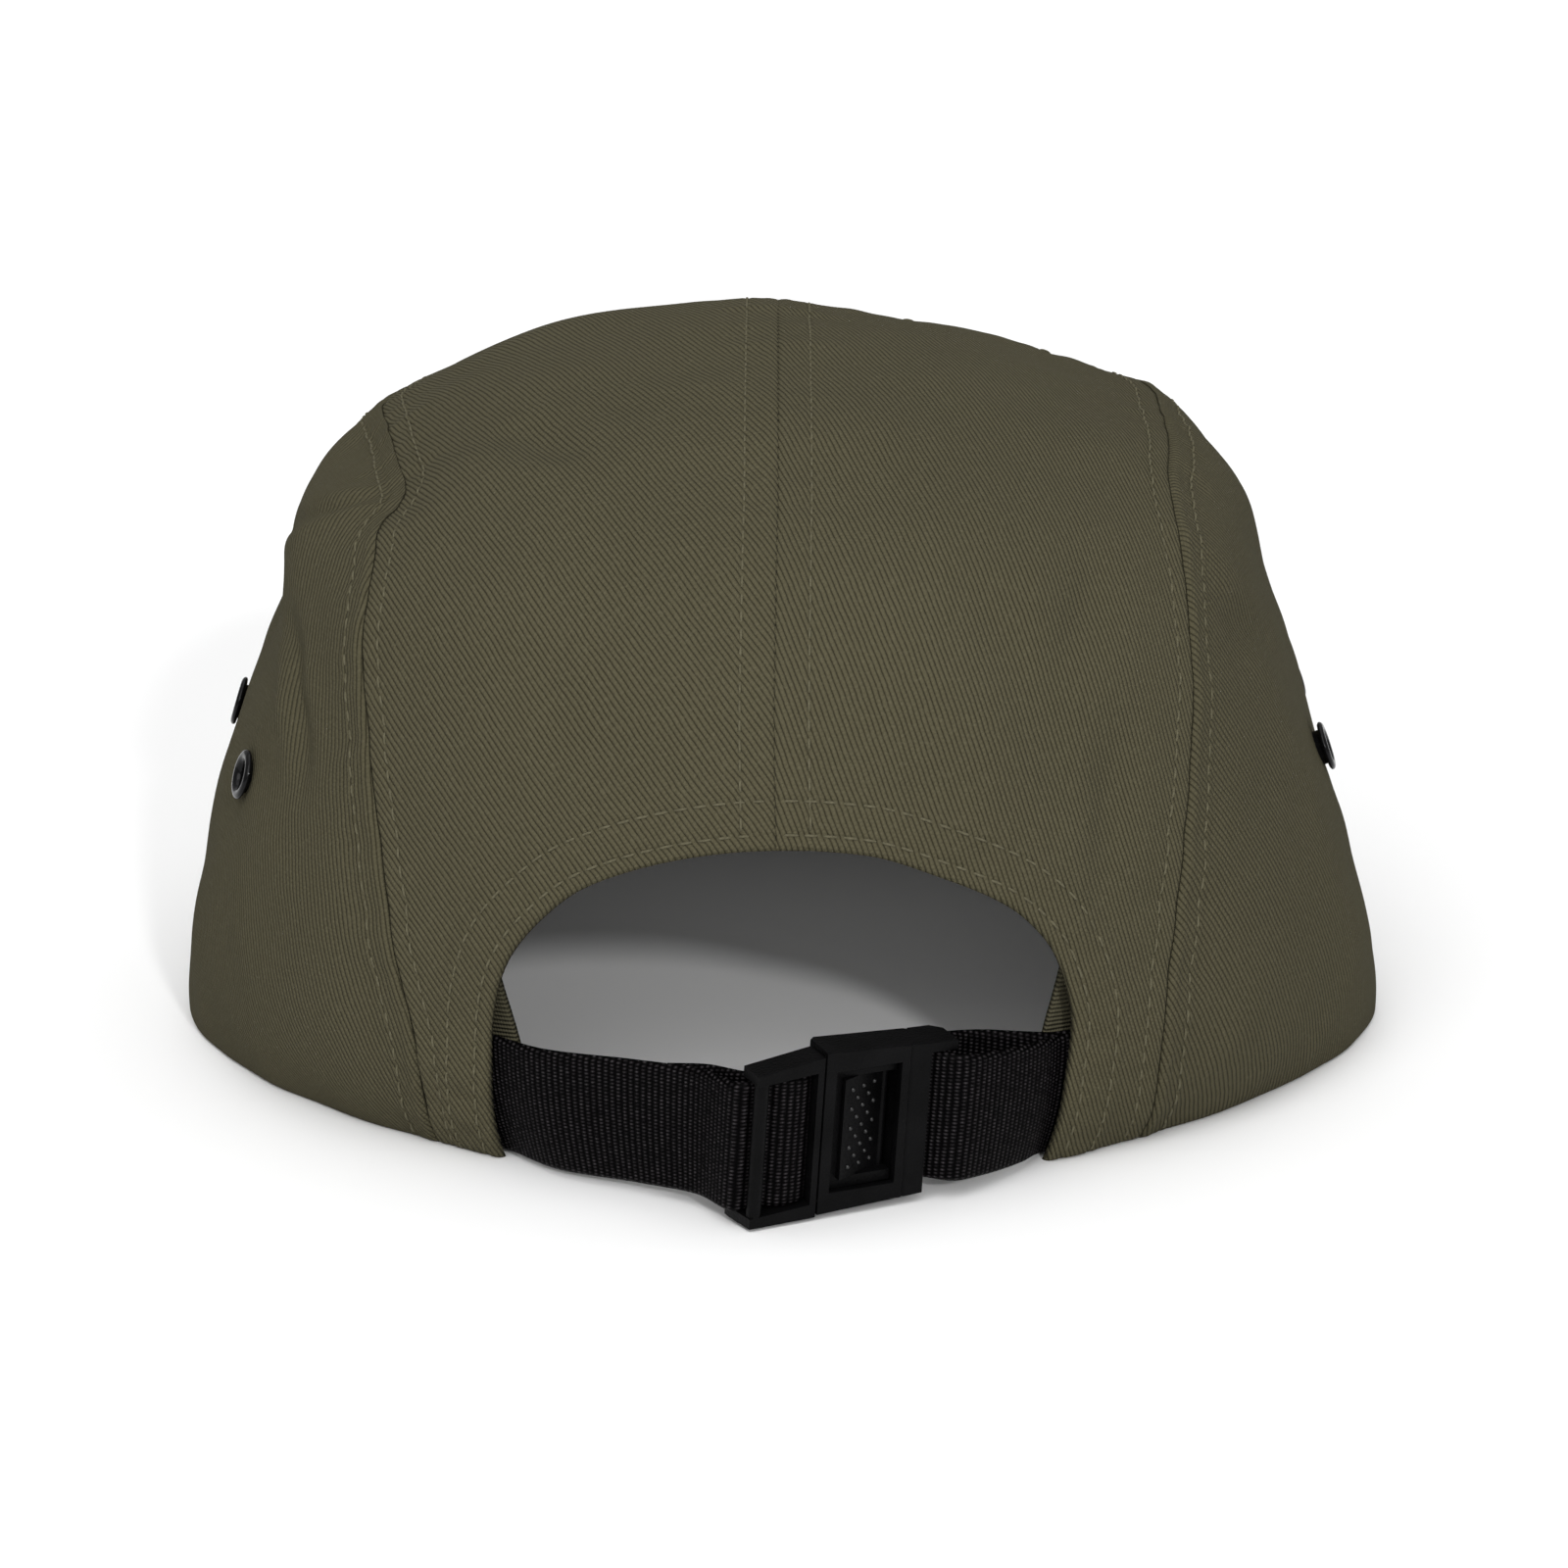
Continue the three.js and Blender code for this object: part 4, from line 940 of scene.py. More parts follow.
def stitches_piece(name, rows):
    """Every stitch is a short bead of thread that bends into the cloth at both ends."""
    rings = 7
    sides = 6
    t = np.linspace(-1, 1, rings)
    radius = 0.21 * np.sqrt(np.maximum(1 - np.abs(t) ** 4, 0.02))
    lift = 0.13 - 0.36 * np.abs(t) ** 3
    angle = np.linspace(0, 2 * math.pi, sides, endpoint=False)
    local = np.stack([
        np.repeat(t * STITCH_LENGTH / 2, sides),
        (radius[:, None] * np.cos(angle)).ravel(),
        (lift[:, None] + 0.8 * radius[:, None] * np.sin(angle)).ravel(),
    ], -1)
    bead = tube_faces(rings, sides)
    bead += [tuple(reversed(range(sides))), tuple(range((rings - 1) * sides, rings * sides))]
    points = []
    faces = []
    for middle, way, normal in rows:
        side = np.cross(normal, way)
        up = np.cross(way, side)
        for m, w, s, u in zip(middle, way, side, up):
            base = len(points) * len(local)
            points.append(m + local[:, :1] * w + local[:, 1:2] * s + local[:, 2:] * u)
            faces += [tuple(base + k for k in face) for face in bead]
    new_piece(name, np.concatenate(points), faces, thread, ())


def crown_row(panel, name, distance, start, end, lift=0.0):
    spots = beside(name, distance, start, end)
    return stitch_row(*cloth(panel, spots[np.linalg.norm(spots, axis=-1) < 0.995], lift))


# Seams with a row on both sides: line, side of the first row (plus lies to the line's left), the two panels,
# start and end as shares of the line, lift in millimetres
SEAM_ROWS = (
    ("centre", 1, "back_panel_left", "back_panel_right", 0.02, 0.97, 0),
    ("seam_left", -1, "back_panel_left", "side_panel_left", 0, 0.985, 0),
    ("seam_right", 1, "back_panel_right", "side_panel_right", 0, 0.985, 0),
    ("front_left", -1, "side_panel_left", "front_panel", 0, 0.98, 0),
    ("front_right", 1, "side_panel_right", "front_panel", 0, 0.98, 0),
    ("cross_left", 1, "back_panel_left", "front_panel", 0.03, 0.95, -0.07),
    ("cross_right", -1, "back_panel_right", "front_panel", 0.03, 0.95, -0.07),
)
seam_rows = []
for name, side, first, second, *reach in SEAM_ROWS:
    seam_rows.append(crown_row(first, name, side * PANELS[first][name], *reach))
    seam_rows.append(crown_row(second, name, -side * PANELS[second][name], *reach))
hem_rows = []
top = LINES["arch"].share(ARCH_TOP)
for row in ARCH_ROWS:
    hem_rows.append(crown_row("back_panel_left", "arch", row, 0.0, top - 0.004))
    hem_rows.append(crown_row("back_panel_right", "arch", row, top + 0.004, 1.0))

stitches_piece("seam_stitches", seam_rows)
stitches_piece("hem_stitches", hem_rows)


# Ribbons: sweatband and straps
def catmull(points, t):
    """A centripetal Catmull-Rom curve through the points; t runs 0 to 1 over its equal parts."""
    points = np.asarray(points, float)
    full = np.concatenate([[2 * points[0] - points[1]], points, [2 * points[-1] - points[-2]]])
    place = np.clip(np.asarray(t) * (len(points) - 1), 0, len(points) - 1 - 1e-9)
    k = place.astype(int)
    w = (place - k)[:, None]
    p0, p1, p2, p3 = (full[k + n] for n in range(4))
    d0, d1, d2 = (np.maximum(np.linalg.norm(b - a, axis=1, keepdims=True) ** 0.5, 1e-4)
                  for a, b in ((p0, p1), (p1, p2), (p2, p3)))
    m1 = ((p1 - p0) / d0 - (p2 - p0) / (d0 + d1) + (p2 - p1) / d1) * d1
    m2 = ((p2 - p1) / d1 - (p3 - p1) / (d1 + d2) + (p3 - p2) / d2) * d1
    return ((2 * w**3 - 3 * w**2 + 1) * p1 + (w**3 - 2 * w**2 + w) * m1
            + (-2 * w**3 + 3 * w**2) * p2 + (w**3 - w**2) * m2)


def even(curve, step):
    """Parameters that step evenly along a curve function."""
    t = np.linspace(0, 1, 3000)
    along = along_of(curve(t))
    count = max(8, int(along[-1] / step))
    lengths = np.linspace(0, along[-1], count + 1)
    return np.interp(lengths, along, t), lengths


def strip_faces(count, around):
    """Quads of a tube of rings, with both ends closed."""
    i, k = np.meshgrid(np.arange(count - 1), np.arange(around), indexing="ij")
    n = (k + 1) % around
    quads = np.stack([i * around + k, (i + 1) * around + k, (i + 1) * around + n, i * around + n], -1)
    faces = [tuple(q) for q in quads.reshape(-1, 4).tolist()]
    half = around // 2
    for base, turned in ((0, False), ((count - 1) * around, True)):
        for k in range(half - 1):
            quad = (base + k, base + k + 1, base + around - 2 - k, base + around - 1 - k)
            faces.append(tuple(reversed(quad)) if turned else quad)
    return faces


def weave(along):
    """Heavy nylon webbing: upright columns that stand out side by side."""
    column = along / WEB_COLUMN
    ridge = np.maximum(np.sin(math.pi * (column - np.floor(column))), 0)
    return 0.2 * ridge**0.8 - 0.12


def strap_piece(name, lines):
    lines = np.array(lines)
    t, along = even(lambda t: catmull(lines[:, 1], t), WEB_COLUMN / WEB_STEPS)
    low, middle, high = (catmull(lines[:, k], t) for k in range(3))
    way = np.gradient(middle, axis=0)
    way[:, 2] = 0
    way = unit(way)
    outward = np.stack([way[:, 1], -way[:, 0], np.zeros(len(way))], -1)
    share = np.linspace(-1, 1, WEB_ACROSS)
    points = np.empty((len(t), 2 * WEB_ACROSS, 3))
    uv = np.empty((len(t), 2 * WEB_ACROSS, 2))
    for k, s in enumerate([*share, *share[::-1]]):
        centre = middle + (high - low) * s / 2 + (high + low - 2 * middle) * s * s / 2
        round_edge = 1 - 0.8 * np.clip((abs(s) - 0.94) / 0.06, 0, 1) ** 2
        depth = (WEBBING_THICKNESS / 2 + weave(along)) * round_edge
        points[:, k] = centre + outward * (depth if k < WEB_ACROSS else -depth)[:, None]
        uv[:, k, 0] = along
        uv[:, k, 1] = s * WEBBING_WIDTH / 2 + 50
    faces = strip_faces(len(t), 2 * WEB_ACROSS)
    set_uv(new_piece(name + "_webbing", points, faces, webbing, (name,)), uv)


clip_matrix = Matrix.Translation(CLIP_PLACE) @ (
    Matrix.Rotation(math.radians(CLIP_TURNS["yaw"]), 4, "Z")
    @ Matrix.Rotation(math.radians(CLIP_TURNS["lean"]), 4, "X")
    @ Matrix.Rotation(math.radians(CLIP_TURNS["roll"]), 4, "Y"))


INNER_HEIGHT = WEBBING_WIDTH + 2 * CLIP_PLAY


def clip_form(column):
    halves = []
    for form, length in ((PLUG_FORM, PLUG_LENGTH), (SOCKET_FORM, SOCKET_LENGTH)):
        halves.append(monotone([row[0] * length for row in form], [row[column] for row in form]))
    return lambda x: np.where(np.asarray(x) < 0, halves[0](x), halves[1](x))


clip_rail = clip_form(1)
clip_drop = clip_form(2)


def clip_line(x, y):
    drop = float(clip_drop(x)) * CLIP_HEIGHT
    return [list(clip_matrix @ Vector((x, y, z - drop))) for z in (-WEBBING_WIDTH / 2, 0, WEBBING_WIDTH / 2)]


def root_line(turn, layer):
    depth = FABRIC + LINING_GAP + WEBBING_THICKNESS / 2 + layer * (WEBBING_THICKNESS + SEAM_GAP)
    rises = [rise_at(STRAP_OFF_FLOOR + share * WEBBING_WIDTH) for share in (0, 0.5, 1)]
    spots = on_disc(np.full(3, float(turn)), np.array(rises))
    normal = normals_of(crown, spots)
    normal[:, 2] = 0
    return (crown(spots) - unit(normal) * depth).tolist()


def course_lines(foot, entry, course, side):
    foot, entry = np.array(foot), np.array(entry)
    span = entry[1] - foot[1]
    outward = np.array([-side * span[1], side * span[0], 0])
    return [(foot + (entry - foot) * along + outward * bow).tolist() for along, bow in course]


WEB_STEP = WEBBING_THICKNESS / 2 + CLIP_PLAY
CAVITY_FRONT = SOCKET_WALL
CAVITY_BACK = CLIP_DEPTH - SOCKET_WALL
PIN_START = SOCKET_LENGTH - PIN_INSET
PIN_FRONT = CAVITY_FRONT + 2 * CLIP_PLAY + WEBBING_THICKNESS


def left_strap():
    foot_turn = ARCH[0][0]
    roots = [root_line(foot_turn - share * STRAP_ROOT_TURNS, 0) for share in (1, 0.5, 0)]
    under, over, behind = BAR_SIZE + WEB_STEP, BAR_SIZE - WEB_STEP, 2 * BAR_SIZE + WEB_STEP
    bar = -INNER_BAR_PLACE + BAR_SIZE
    wrapped = [clip_line(x, y) for x, y in (
        (-PLUG_LENGTH - PLUG_HOOK - CLIP_PLAY, under),
        (-PLUG_LENGTH + BAR_SIZE, under),
        (-INNER_BAR_PLACE - 0.8, over + 0.3),
        (-INNER_BAR_PLACE + BAR_SIZE / 2, over),
        (bar + WEB_STEP * 0.8, over + WEB_STEP * 0.5),
        (bar + WEB_STEP, BAR_SIZE * 1.5),
        (bar + WEB_STEP * 0.8, behind - WEB_STEP * 0.5),
        (-INNER_BAR_PLACE + BAR_SIZE / 2, behind),
        (-PLUG_LENGTH + BAR_SIZE, behind + 0.4),
    )]
    course = course_lines(roots[2], wrapped[0], COURSE_LEFT, -1)
    before, last = np.array(course[1]), np.array(course[2])
    way = last[1] - before[1]
    way[2] = 0
    way = unit(way)
    inward = np.array([-way[1], way[0], 0]) * (WEBBING_THICKNESS + TAIL_GAP)
    ends = (0, TAIL_END)
    tail = [(last + (before - last) * share + inward - [0, 0, TAIL_SINK * share]).tolist() for share in ends]
    return roots + course + wrapped + tail


def right_strap():
    foot_turn = ARCH[-1][0]
    roots = [root_line(foot_turn + share * STRAP_ROOT_TURNS, 0) for share in (1, 0.5, 0)]
    back_roots = [root_line(foot_turn + share * STRAP_ROOT_TURNS, 1) for share in (0, 0.5, 1)]
    front = PIN_FRONT - WEB_STEP
    behind = PIN_FRONT + PIN_SIZE + WEB_STEP
    wrapped = [clip_line(x, y) for x, y in (
        (SOCKET_LENGTH, front),
        (PIN_START + PIN_SIZE / 2, front),
        (PIN_START - WEB_STEP * 0.8, PIN_FRONT - WEB_STEP * 0.4),
        (PIN_START - WEB_STEP, PIN_FRONT + PIN_SIZE / 2),
        (PIN_START - WEB_STEP * 0.8, PIN_FRONT + PIN_SIZE + WEB_STEP * 0.4),
        (PIN_START + PIN_SIZE / 2, behind),
        (SOCKET_LENGTH + 1, behind + 1.2),
    )]
    course = course_lines(roots[2], wrapped[0], COURSE_RIGHT, 1)
    back_course = course_lines(back_roots[0], wrapped[6], COURSE_RIGHT_BACK, 1)
    return roots + course + wrapped + back_course + back_roots


strap_piece("strap_left", left_strap())
strap_piece("strap_right", right_strap())


def band_piece():
    low, high = rise_at(BAND_OFF_FLOOR), rise_at(BAND_OFF_FLOOR + BAND_HEIGHT)
    root_turn = max(-ARCH[0][0], ARCH[-1][0]) + STRAP_ROOT_TURNS
    columns, rows = BAND_CELLS
    turns = np.linspace(BAND_END_TURN, 360 - BAND_END_TURN, columns + 1)
    shares = eased(rows, 0.5)
    turn, share = np.meshgrid(turns, shares, indexing="ij")
    slant = BAND_END_SLANT * np.clip((share - 0.5) / 0.5, 0, 1) ** 1.5
    turn = turn + slant * bell(turn - BAND_END_TURN, 5) - slant * bell(360 - BAND_END_TURN - turn, 5)
    from_back = np.minimum(turn, 360 - turn)
    layers = 1 - smoothstep(from_back, root_turn + 2, root_turn + 14)
    room = 2 * (WEBBING_THICKNESS + SEAM_GAP) * layers
    spots = on_disc(turn, low + (high - low) * share)
    outward = normals_of(crown, spots)
    outward[..., 2] = 0
    outward = unit(outward)
    base = crown(spots)
    along = along_of(base[:, rows // 2])
    wave = 0.12 * ripple(along[:, None], 3, 12, 40)[:, None] * share
    curl = 0.5 * np.clip((share - 0.82) / 0.18, 0, 1) ** 2
    sides = []
    for face in (0, 1):
        depth = FABRIC + LINING_GAP + 0.1 + room + wave + curl + face * (BAND_THICKNESS - 0.15)
        edge = np.minimum(share, 1 - share) * BAND_HEIGHT
        tuck = 0.45 * np.clip(1 - edge / 0.5, 0, 1) ** 2 * (1 if face == 0 else -1)
        sides.append(base - outward * (depth + tuck)[..., None])
    ring = np.concatenate([sides[0], sides[1][:, ::-1]], 1)
    height = share * BAND_HEIGHT
    height = np.concatenate([height, height[:, ::-1]], 1)
    uv = np.stack([np.repeat(along[:, None], 2 * (rows + 1), 1), height], -1)
    faces = [tuple(reversed(face)) for face in strip_faces(columns + 1, 2 * (rows + 1))]
    piece = new_piece("sweatband_tape", ring, faces, band_cloth, ("sweatband",))
    set_uv(piece, uv)


band_piece()


# Peak
def peak_piece():
    columns, rows = PEAK_CELLS
    base_turn = 360 - PEAK_END_TURN - np.linspace(0, 1, columns + 1) * (360 - 2 * PEAK_END_TURN)
    spots = on_disc(base_turn, np.zeros(columns + 1))
    outward = normals_of(crown, spots)
    outward[:, 2] = 0
    base = crown(spots) + unit(outward) * SEAM_GAP
    power = 2 / 2.4
    sweep = math.pi - math.asin(((base[-1, 0] + PEAK_END_EDGE / 2) / peak_half_width) ** (1 / power))
    widest = base[0, 1] + PEAK_END_EDGE + PEAK_TURN_IN * abs(math.cos(sweep)) ** power
    angle = (2 * np.linspace(0, 1, columns + 1) - 1) * sweep
    x = peak_half_width * np.sign(np.sin(angle)) * np.abs(np.sin(angle)) ** power
    reach = np.where(np.cos(angle) > 0, HALF_LENGTH + PEAK_REACH - widest, -PEAK_TURN_IN)
    edge = np.stack([x, widest + reach * np.abs(np.cos(angle)) ** power, 0 * x], -1)
    share = 1 - (1 - np.linspace(0, 1, rows + 1)) ** 1.25
    flat = base[:, None] * (1 - share[None, :, None]) + edge[:, None] * share[None, :, None]
    flat[..., 2] = 0
    gap = Track(edge).away(flat)[0]
    flat = flat[..., :2]
    rounded = PEAK_THICKNESS / 2 * rounding(gap, 1.6) * 0.92
    rows_at = np.arange(PEAK_ROW_START, PEAK_REACH - 6, PEAK_ROW_PITCH)
    valleys = sum(-0.2 * bell(gap - row, 0.7) for row in rows_at)
    past = gap - PEAK_ROW_START
    puff = 0.12 * np.abs(np.sin(math.pi * past / PEAK_ROW_PITCH)) * (past > 0)
    bind = 0.3 * (1 - smoothstep(gap, 5.6, 6.6))
    soft = 0.06 * ripple(np.concatenate([flat, 0 * flat[..., :1]], -1), 61, 10, 30)
    inner = np.clip(share[None] * 12, 0, 1)
    lift = camber(flat[..., 0])
    top = lift + PEAK_THICKNESS - 0.3 - rounded + (valleys + puff + bind + soft) * inner
    low = lift + 0.1 + rounded + (0.25 - valleys * 0.8) * inner * (rounded <= 0)
    upper, under = (np.concatenate([flat, height[..., None]], -1) for height in (top, low))
    ring = np.concatenate([upper, under[:, ::-1]], 1)
    uv = ring[..., :2] @ np.array([[math.cos(1.0), -math.sin(1.0)], [math.sin(1.0), math.cos(1.0)]])
    faces = strip_faces(columns + 1, 2 * (rows + 1))
    piece = new_piece("peak_cloth", ring, faces, twill, ("peak",))
    set_uv(piece, uv)
    rows_made = []
    for row in (*PEAK_EDGE_ROWS, *rows_at):
        line = []
        for k in range(columns + 1):
            near = np.nonzero((gap[k, :-1] >= row) & (gap[k, 1:] < row))[0]
            if len(near):
                j = near[-1]
                w = (gap[k, j] - row) / (gap[k, j] - gap[k, j + 1])
                line.append(upper[k, j] * (1 - w) + upper[k, j + 1] * w)
        if len(line) > 8:
            line = np.array(line)
            slope = -2 * PEAK_CAMBER * line[:, 0] / peak_half_width**2
            normals = unit(np.stack([-slope, 0 * slope, 0 * slope + 1], -1))
            rows_made.append(stitch_row(line, normals))
    stitches_piece("peak_stitches", rows_made)


peak_piece()


# Eyelets
def eyelet_piece(name, turn, rise):
    """A rolled metal ring outside, a flange inside and the barrel between."""
    profile = (
        (2.0, -2.2), (2.3, -2.45), (3.4, -2.35), (3.6, -2.1), (3.5, -1.9), (2.9, -1.85),
        (2.75, -1.6), (2.75, 0.35), (3.55, 0.42), (3.85, 0.62), (3.9, 0.85), (3.75, 1.1),
        (3.45, 1.28), (3.05, 1.34), (2.65, 1.25), (2.3, 1.02), (2.08, 0.65), (2.0, 0.2), (2.0, -1.0),
    )
    spot = on_disc(float(turn), float(rise))[None]
    centre = crown(spot)[0]
    normal = normals_of(crown, spot)[0]
    side = unit(np.cross(normal, (0.0, 0.0, 1.0)))
    other = np.cross(normal, side)
    sides = 56
    angle = np.linspace(0, 2 * math.pi, sides, endpoint=False)
    ring = np.cos(angle)[:, None] * side + np.sin(angle)[:, None] * other
    points = np.concatenate([centre + ring * r + normal * h for r, h in profile])
    faces = [tuple(k % len(points) for k in face) for face in tube_faces(len(profile) + 1, sides)]
    new_piece(name + "_ring", points, faces, metal, (name,))


for name, (turn, rise) in EYELETS.items():
    eyelet_piece(name, turn, rise)


# Clip: both halves are built in the clip's own frame and then placed
def slab(outline, low, high):
    """A solid prism over an (x, y) outline between two heights."""
    n = len(outline)
    points = [(x, y, z) for z in (low, high) for x, y in outline]
    area = sum(a[0] * b[1] - b[0] * a[1] for a, b in zip(outline, outline[1:] + outline[:1]))
    order = list(range(n)) if area > 0 else list(reversed(range(n)))
    faces = [tuple(reversed(order)), tuple(k + n for k in order)]
    faces += [(a, b, b + n, a + n) for a, b in zip(order, order[1:] + order[:1])]
    return linked("shape", mesh_of("shape", points, faces))


def block(x0, x1, y0, y1, z0, z1):
    return slab([(x0, y0), (x1, y0), (x1, y1), (x0, y1)], z0, z1)


def rod(x, y, radius, low, high):
    """An upright round bar."""
    turns = [2 * math.pi * k / 20 for k in range(20)]
    return slab([(x + radius * math.cos(t), y + radius * math.sin(t)) for t in turns], low, high)


def apply_modifier(piece, kind, **settings):
    modifier = piece.modifiers.new("step", kind)
    for key, value in settings.items():
        setattr(modifier, key, value)
    bpy.context.view_layer.update()
    done = bpy.data.meshes.new_from_object(piece.evaluated_get(bpy.context.evaluated_depsgraph_get()))
    piece.modifiers.clear()
    piece.data = done
    return piece


def combine(base, others, operation):
    for other in others:
        apply_modifier(base, "BOOLEAN", object=other, operation=operation, solver="EXACT")
        bpy.data.objects.remove(other)
    return base


def placed(points):
    """Takes points from the clip's own frame to their place on the cap."""
    points[:, 2] -= clip_drop(points[:, 0]) * CLIP_HEIGHT
    place = np.array(clip_matrix)
    return points @ place[:3, :3].T + place[:3, 3]


def clip_piece(name, body, node):
    """Rounds a finished half's edges, gives it the clip's outline and puts it in its place."""
    piece = apply_modifier(body, "WELD", merge_threshold=0.00001)
    apply_modifier(piece, "BEVEL", width=0.00032, segments=3, limit_method="ANGLE",
                   angle_limit=math.radians(28), harden_normals=False, use_clamp_overlap=True)
    mesh = piece.data
    points = points_of(mesh)
    z = points[:, 2].copy()
    beyond = np.maximum(np.abs(z) - INNER_HEIGHT / 2, 0)
    points[:, 2] = z - np.sign(z) * beyond * (1 - clip_rail(points[:, 0]))
    mesh.vertices.foreach_set("co", (placed(points) + SHIFT).ravel() / 1000)
    smooth(mesh)
    apply_modifier(piece, "WEIGHTED_NORMAL", keep_sharp=False)
    piece.name = name
    dressed(piece, plastic, (node,))


GROOVE = 1.3
TONGUE_END = SOCKET_DIVIDER - CLIP_PLAY
HOOD_END = SOCKET_LENGTH + HOOD_LENGTH
RIDGE = 0.5


def socket_piece():
    half, top, window = INNER_HEIGHT / 2, CLIP_HEIGHT / 2, WINDOW_HEIGHT / 2
    groove = WINDOW_START + WINDOW_LENGTH + GROOVE
    body = slab([
        (0, 0), (SOCKET_LENGTH, 0), (SOCKET_LENGTH, CLIP_DEPTH - CHAMFER),
        (SOCKET_LENGTH - CHAMFER, CLIP_DEPTH), (CHAMFER / 2, CLIP_DEPTH), (0, CLIP_DEPTH - CHAMFER / 2),
    ], -top, top)
    combine(body, [
        block(-1, SOCKET_DIVIDER, CAVITY_FRONT, CAVITY_BACK, -half, half),
        block(WINDOW_START, WINDOW_START + WINDOW_LENGTH, -1, CAVITY_FRONT + 0.1, -window, window),
        block(SOCKET_DIVIDER + DIVIDER_WALL, SOCKET_LENGTH + 1, CAVITY_FRONT, CLIP_DEPTH + 1, -half, half),
        slab([(groove, -0.5), (groove + 0.5, -0.5), (groove + 0.5, 0), (groove + 0.25, 0.22), (groove, 0)],
             -top - 1, top + 1),
    ], "DIFFERENCE")
    combine(body, [
        block(PIN_START, PIN_START + PIN_SIZE, PIN_FRONT, PIN_FRONT + PIN_SIZE, -half - 0.5, half + 0.5),
        slab([
            (SOCKET_LENGTH - 1, 0), (HOOD_END, 0), (HOOD_END, CLIP_DEPTH - CHAMFER),
            (HOOD_END - CHAMFER, CLIP_DEPTH), (SOCKET_LENGTH - 1, CLIP_DEPTH),
        ], half, top),
    ], "UNION")
    clip_piece("clip_socket", body, "buckle_female")


DOT_ROWS = 9
DOT_SHARES = ((0.2, 0.483, 0.766), (0.342, 0.625))
DOT_PITCH = 1.52
DOT_TOP = 5.95
DOT_RADIUS = 0.37
RAMP_LENGTH = 7.9


def ramp_depth(x):
    return BUTTON_PLACE + RAMP_DROP * (x - BUTTON_START) / (TONGUE_END + 1 - BUTTON_START)


def plug_piece():
    top, inner, end, depth = CLIP_HEIGHT / 2, INNER_HEIGHT / 2, -CLIP_PLAY, CLIP_DEPTH
    bar, height, reach = BAR_SIZE / 2, BUTTON_HEIGHT / 2, inner + 0.5
    back = CAVITY_BACK - CLIP_PLAY
    tongue_half = inner - 3 * CLIP_PLAY
    tongue_front = CAVITY_FRONT + CLIP_PLAY
    ridge = BUTTON_START + RAMP_LENGTH + 0.3
    body = block(-PLUG_LENGTH, end, 0, depth - 1.6, inner, top)
    combine(body, [
        slab([
            (-PLUG_LENGTH, 0), (end, 0), (end, depth), (-PLUG_LENGTH - PLUG_HOOK, depth),
            (-PLUG_LENGTH - PLUG_HOOK, depth * 0.8),
        ], -top, -inner),
        rod(-PLUG_LENGTH + bar, bar, bar, -reach, reach),
        block(-INNER_BAR_PLACE, -INNER_BAR_PLACE + BAR_SIZE, BAR_SIZE, 2 * BAR_SIZE, -reach, reach),
        block(end - STILE, end, 0, back, -reach, reach),
        block(end - 0.5, TONGUE_END, tongue_front, back, -tongue_half, tongue_half),
        slab([
            (BUTTON_START, BUTTON_PLACE), (TONGUE_END, tongue_front + 0.1),
            (BUTTON_START, tongue_front + 0.1),
        ], -height, height),
    ], "UNION")
    combine(body, [slab([
        (BUTTON_START, BUTTON_PLACE), (BUTTON_START, BUTTON_PLACE - 1), (TONGUE_END + 1, BUTTON_PLACE - 1),
        (TONGUE_END + 1, BUTTON_PLACE + RAMP_DROP),
    ], -height, height)], "DIFFERENCE")
    combine(body, [rod(ridge, ramp_depth(ridge) + 0.1, RIDGE, -height - 0.3, height + 0.3)], "UNION")
    clip_piece("clip_plug", body, "buckle_male")


def dots_piece():
    """Grip dots in staggered rows, half sunk into the release button's ramp."""
    dots = bmesh.new()
    for row in range(DOT_ROWS):
        for share in DOT_SHARES[row % 2]:
            x = BUTTON_START + share * RAMP_LENGTH
            spot = Vector((x, ramp_depth(x), DOT_TOP - row * DOT_PITCH)) / 1000
            bmesh.ops.create_uvsphere(dots, u_segments=14, v_segments=9, radius=DOT_RADIUS / 1000,
                                      matrix=Matrix.Translation(spot))
    mesh = bpy.data.meshes.new("dots")
    dots.to_mesh(mesh)
    dots.free()
    faces = [tuple(face.vertices) for face in mesh.polygons]
    new_piece("button_dots", placed(points_of(mesh)), faces, worn_plastic, ())


socket_piece()
plug_piece()
dots_piece()


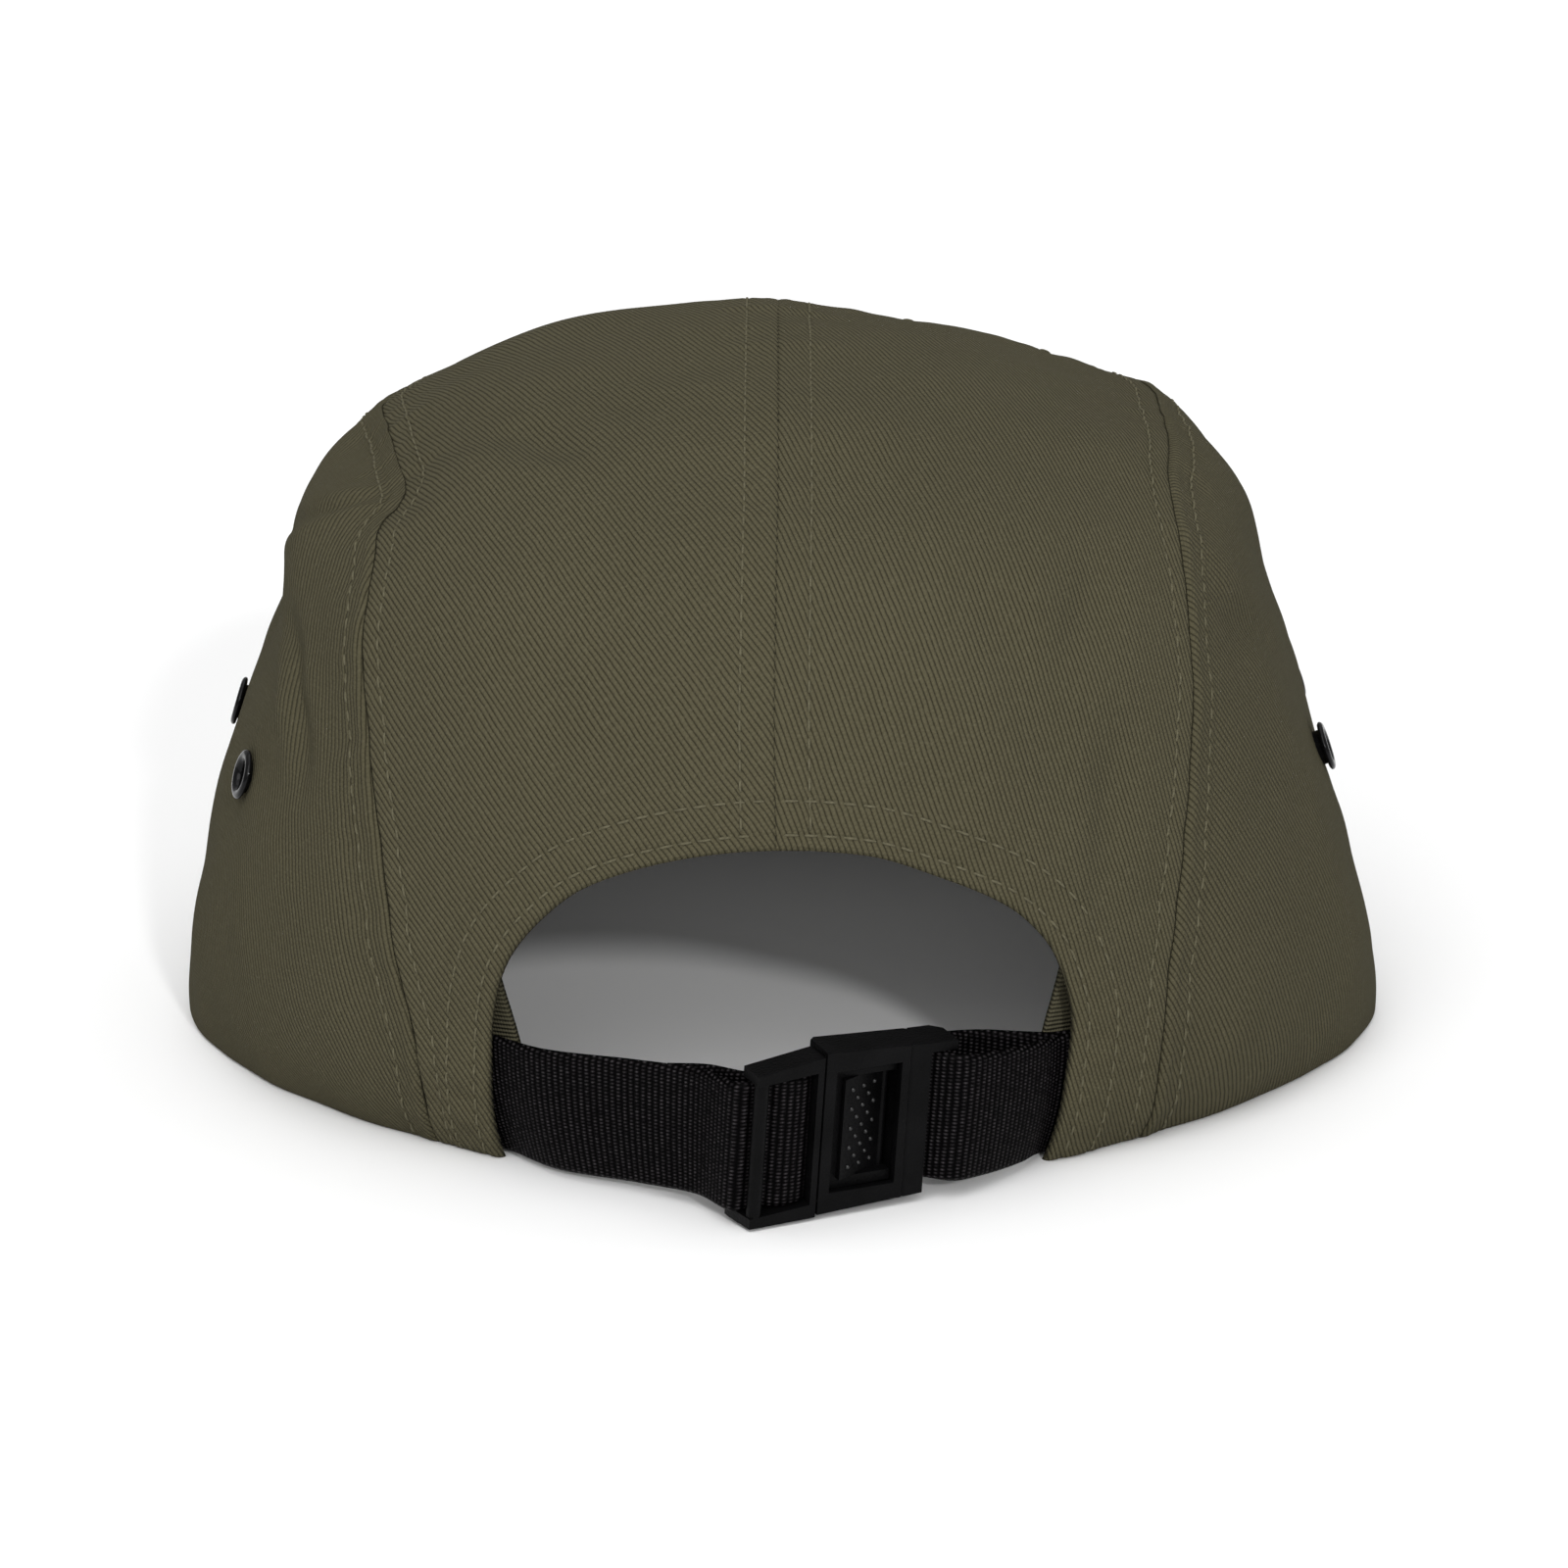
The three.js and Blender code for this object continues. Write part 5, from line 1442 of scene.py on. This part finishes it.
# Floor, light and camera
def floor_material():
    make = Maker("floor")
    shade = make.mix(make.noise(3.0), (0.93 * 0.99,) * 3, (0.93,) * 3)
    return make.finish(shade, 0.9, Specular_IOR_Level=0.1)


floor_corners = np.array([(-1, -1, 0), (1, -1, 0), (1, 1, 0), (-1, 1, 0)])
floor = linked("floor", mesh_of("floor", 6000 * floor_corners, [(0, 1, 2, 3)]))
floor.data.materials.append(floor_material())

world = bpy.data.worlds.new("studio")
bpy.context.scene.world = world
world.use_nodes = True
sky = world.node_tree.nodes["Background"].inputs
sky[0].default_value = (1, 1, 1, 1)
sky[1].default_value = 0.36


def sun(name, turn, elevation, strength, angle):
    """Light that comes from this turn (0 behind the cap, + to the right) and height, in degrees."""
    light = bpy.data.lights.new(name, "SUN")
    light.energy = strength
    light.angle = math.radians(angle)
    lamp = linked(name, light)
    turn, high = math.radians(turn), math.radians(elevation)
    way = Vector((math.sin(turn) * math.cos(high), -math.cos(turn) * math.cos(high), math.sin(high)))
    lamp.rotation_euler = way.to_track_quat("Z", "Y").to_euler()


sun("key", 15, 24, 1.2, 4)
sun("front", -15, 42, 1.55, 50)
sun("overhead", 0, 90, 1.1, 70)

inner = bpy.data.lights.new("inner", "AREA")
inner.shape = "DISK"
inner.size = 0.09
inner.energy = 0.0085
inner_lamp = linked("inner", inner)
inner_lamp.location = (0, 0.03, 0.085)
inner_lamp.visible_camera = False

ELEVATION = 16.5
DISTANCE = 950
TARGET = Vector((0, 0, 37.2))
camera_data = bpy.data.cameras.new("camera")
camera = linked("camera", camera_data)
tilt = math.radians(ELEVATION)
back = Vector((0, -math.cos(tilt), math.sin(tilt)))
camera.location = (TARGET + Vector(SHIFT) + back * DISTANCE) / 1000
camera.rotation_euler = (-back).to_track_quat("-Z", "Y").to_euler()
camera_data.sensor_width = 36
camera_data.lens = 137.9
camera_data.shift_x = 0.00375
camera_data.clip_start = 0.01
camera_data.clip_end = 50
bpy.context.scene.camera = camera
bpy.context.scene.view_settings.view_transform = "Standard"
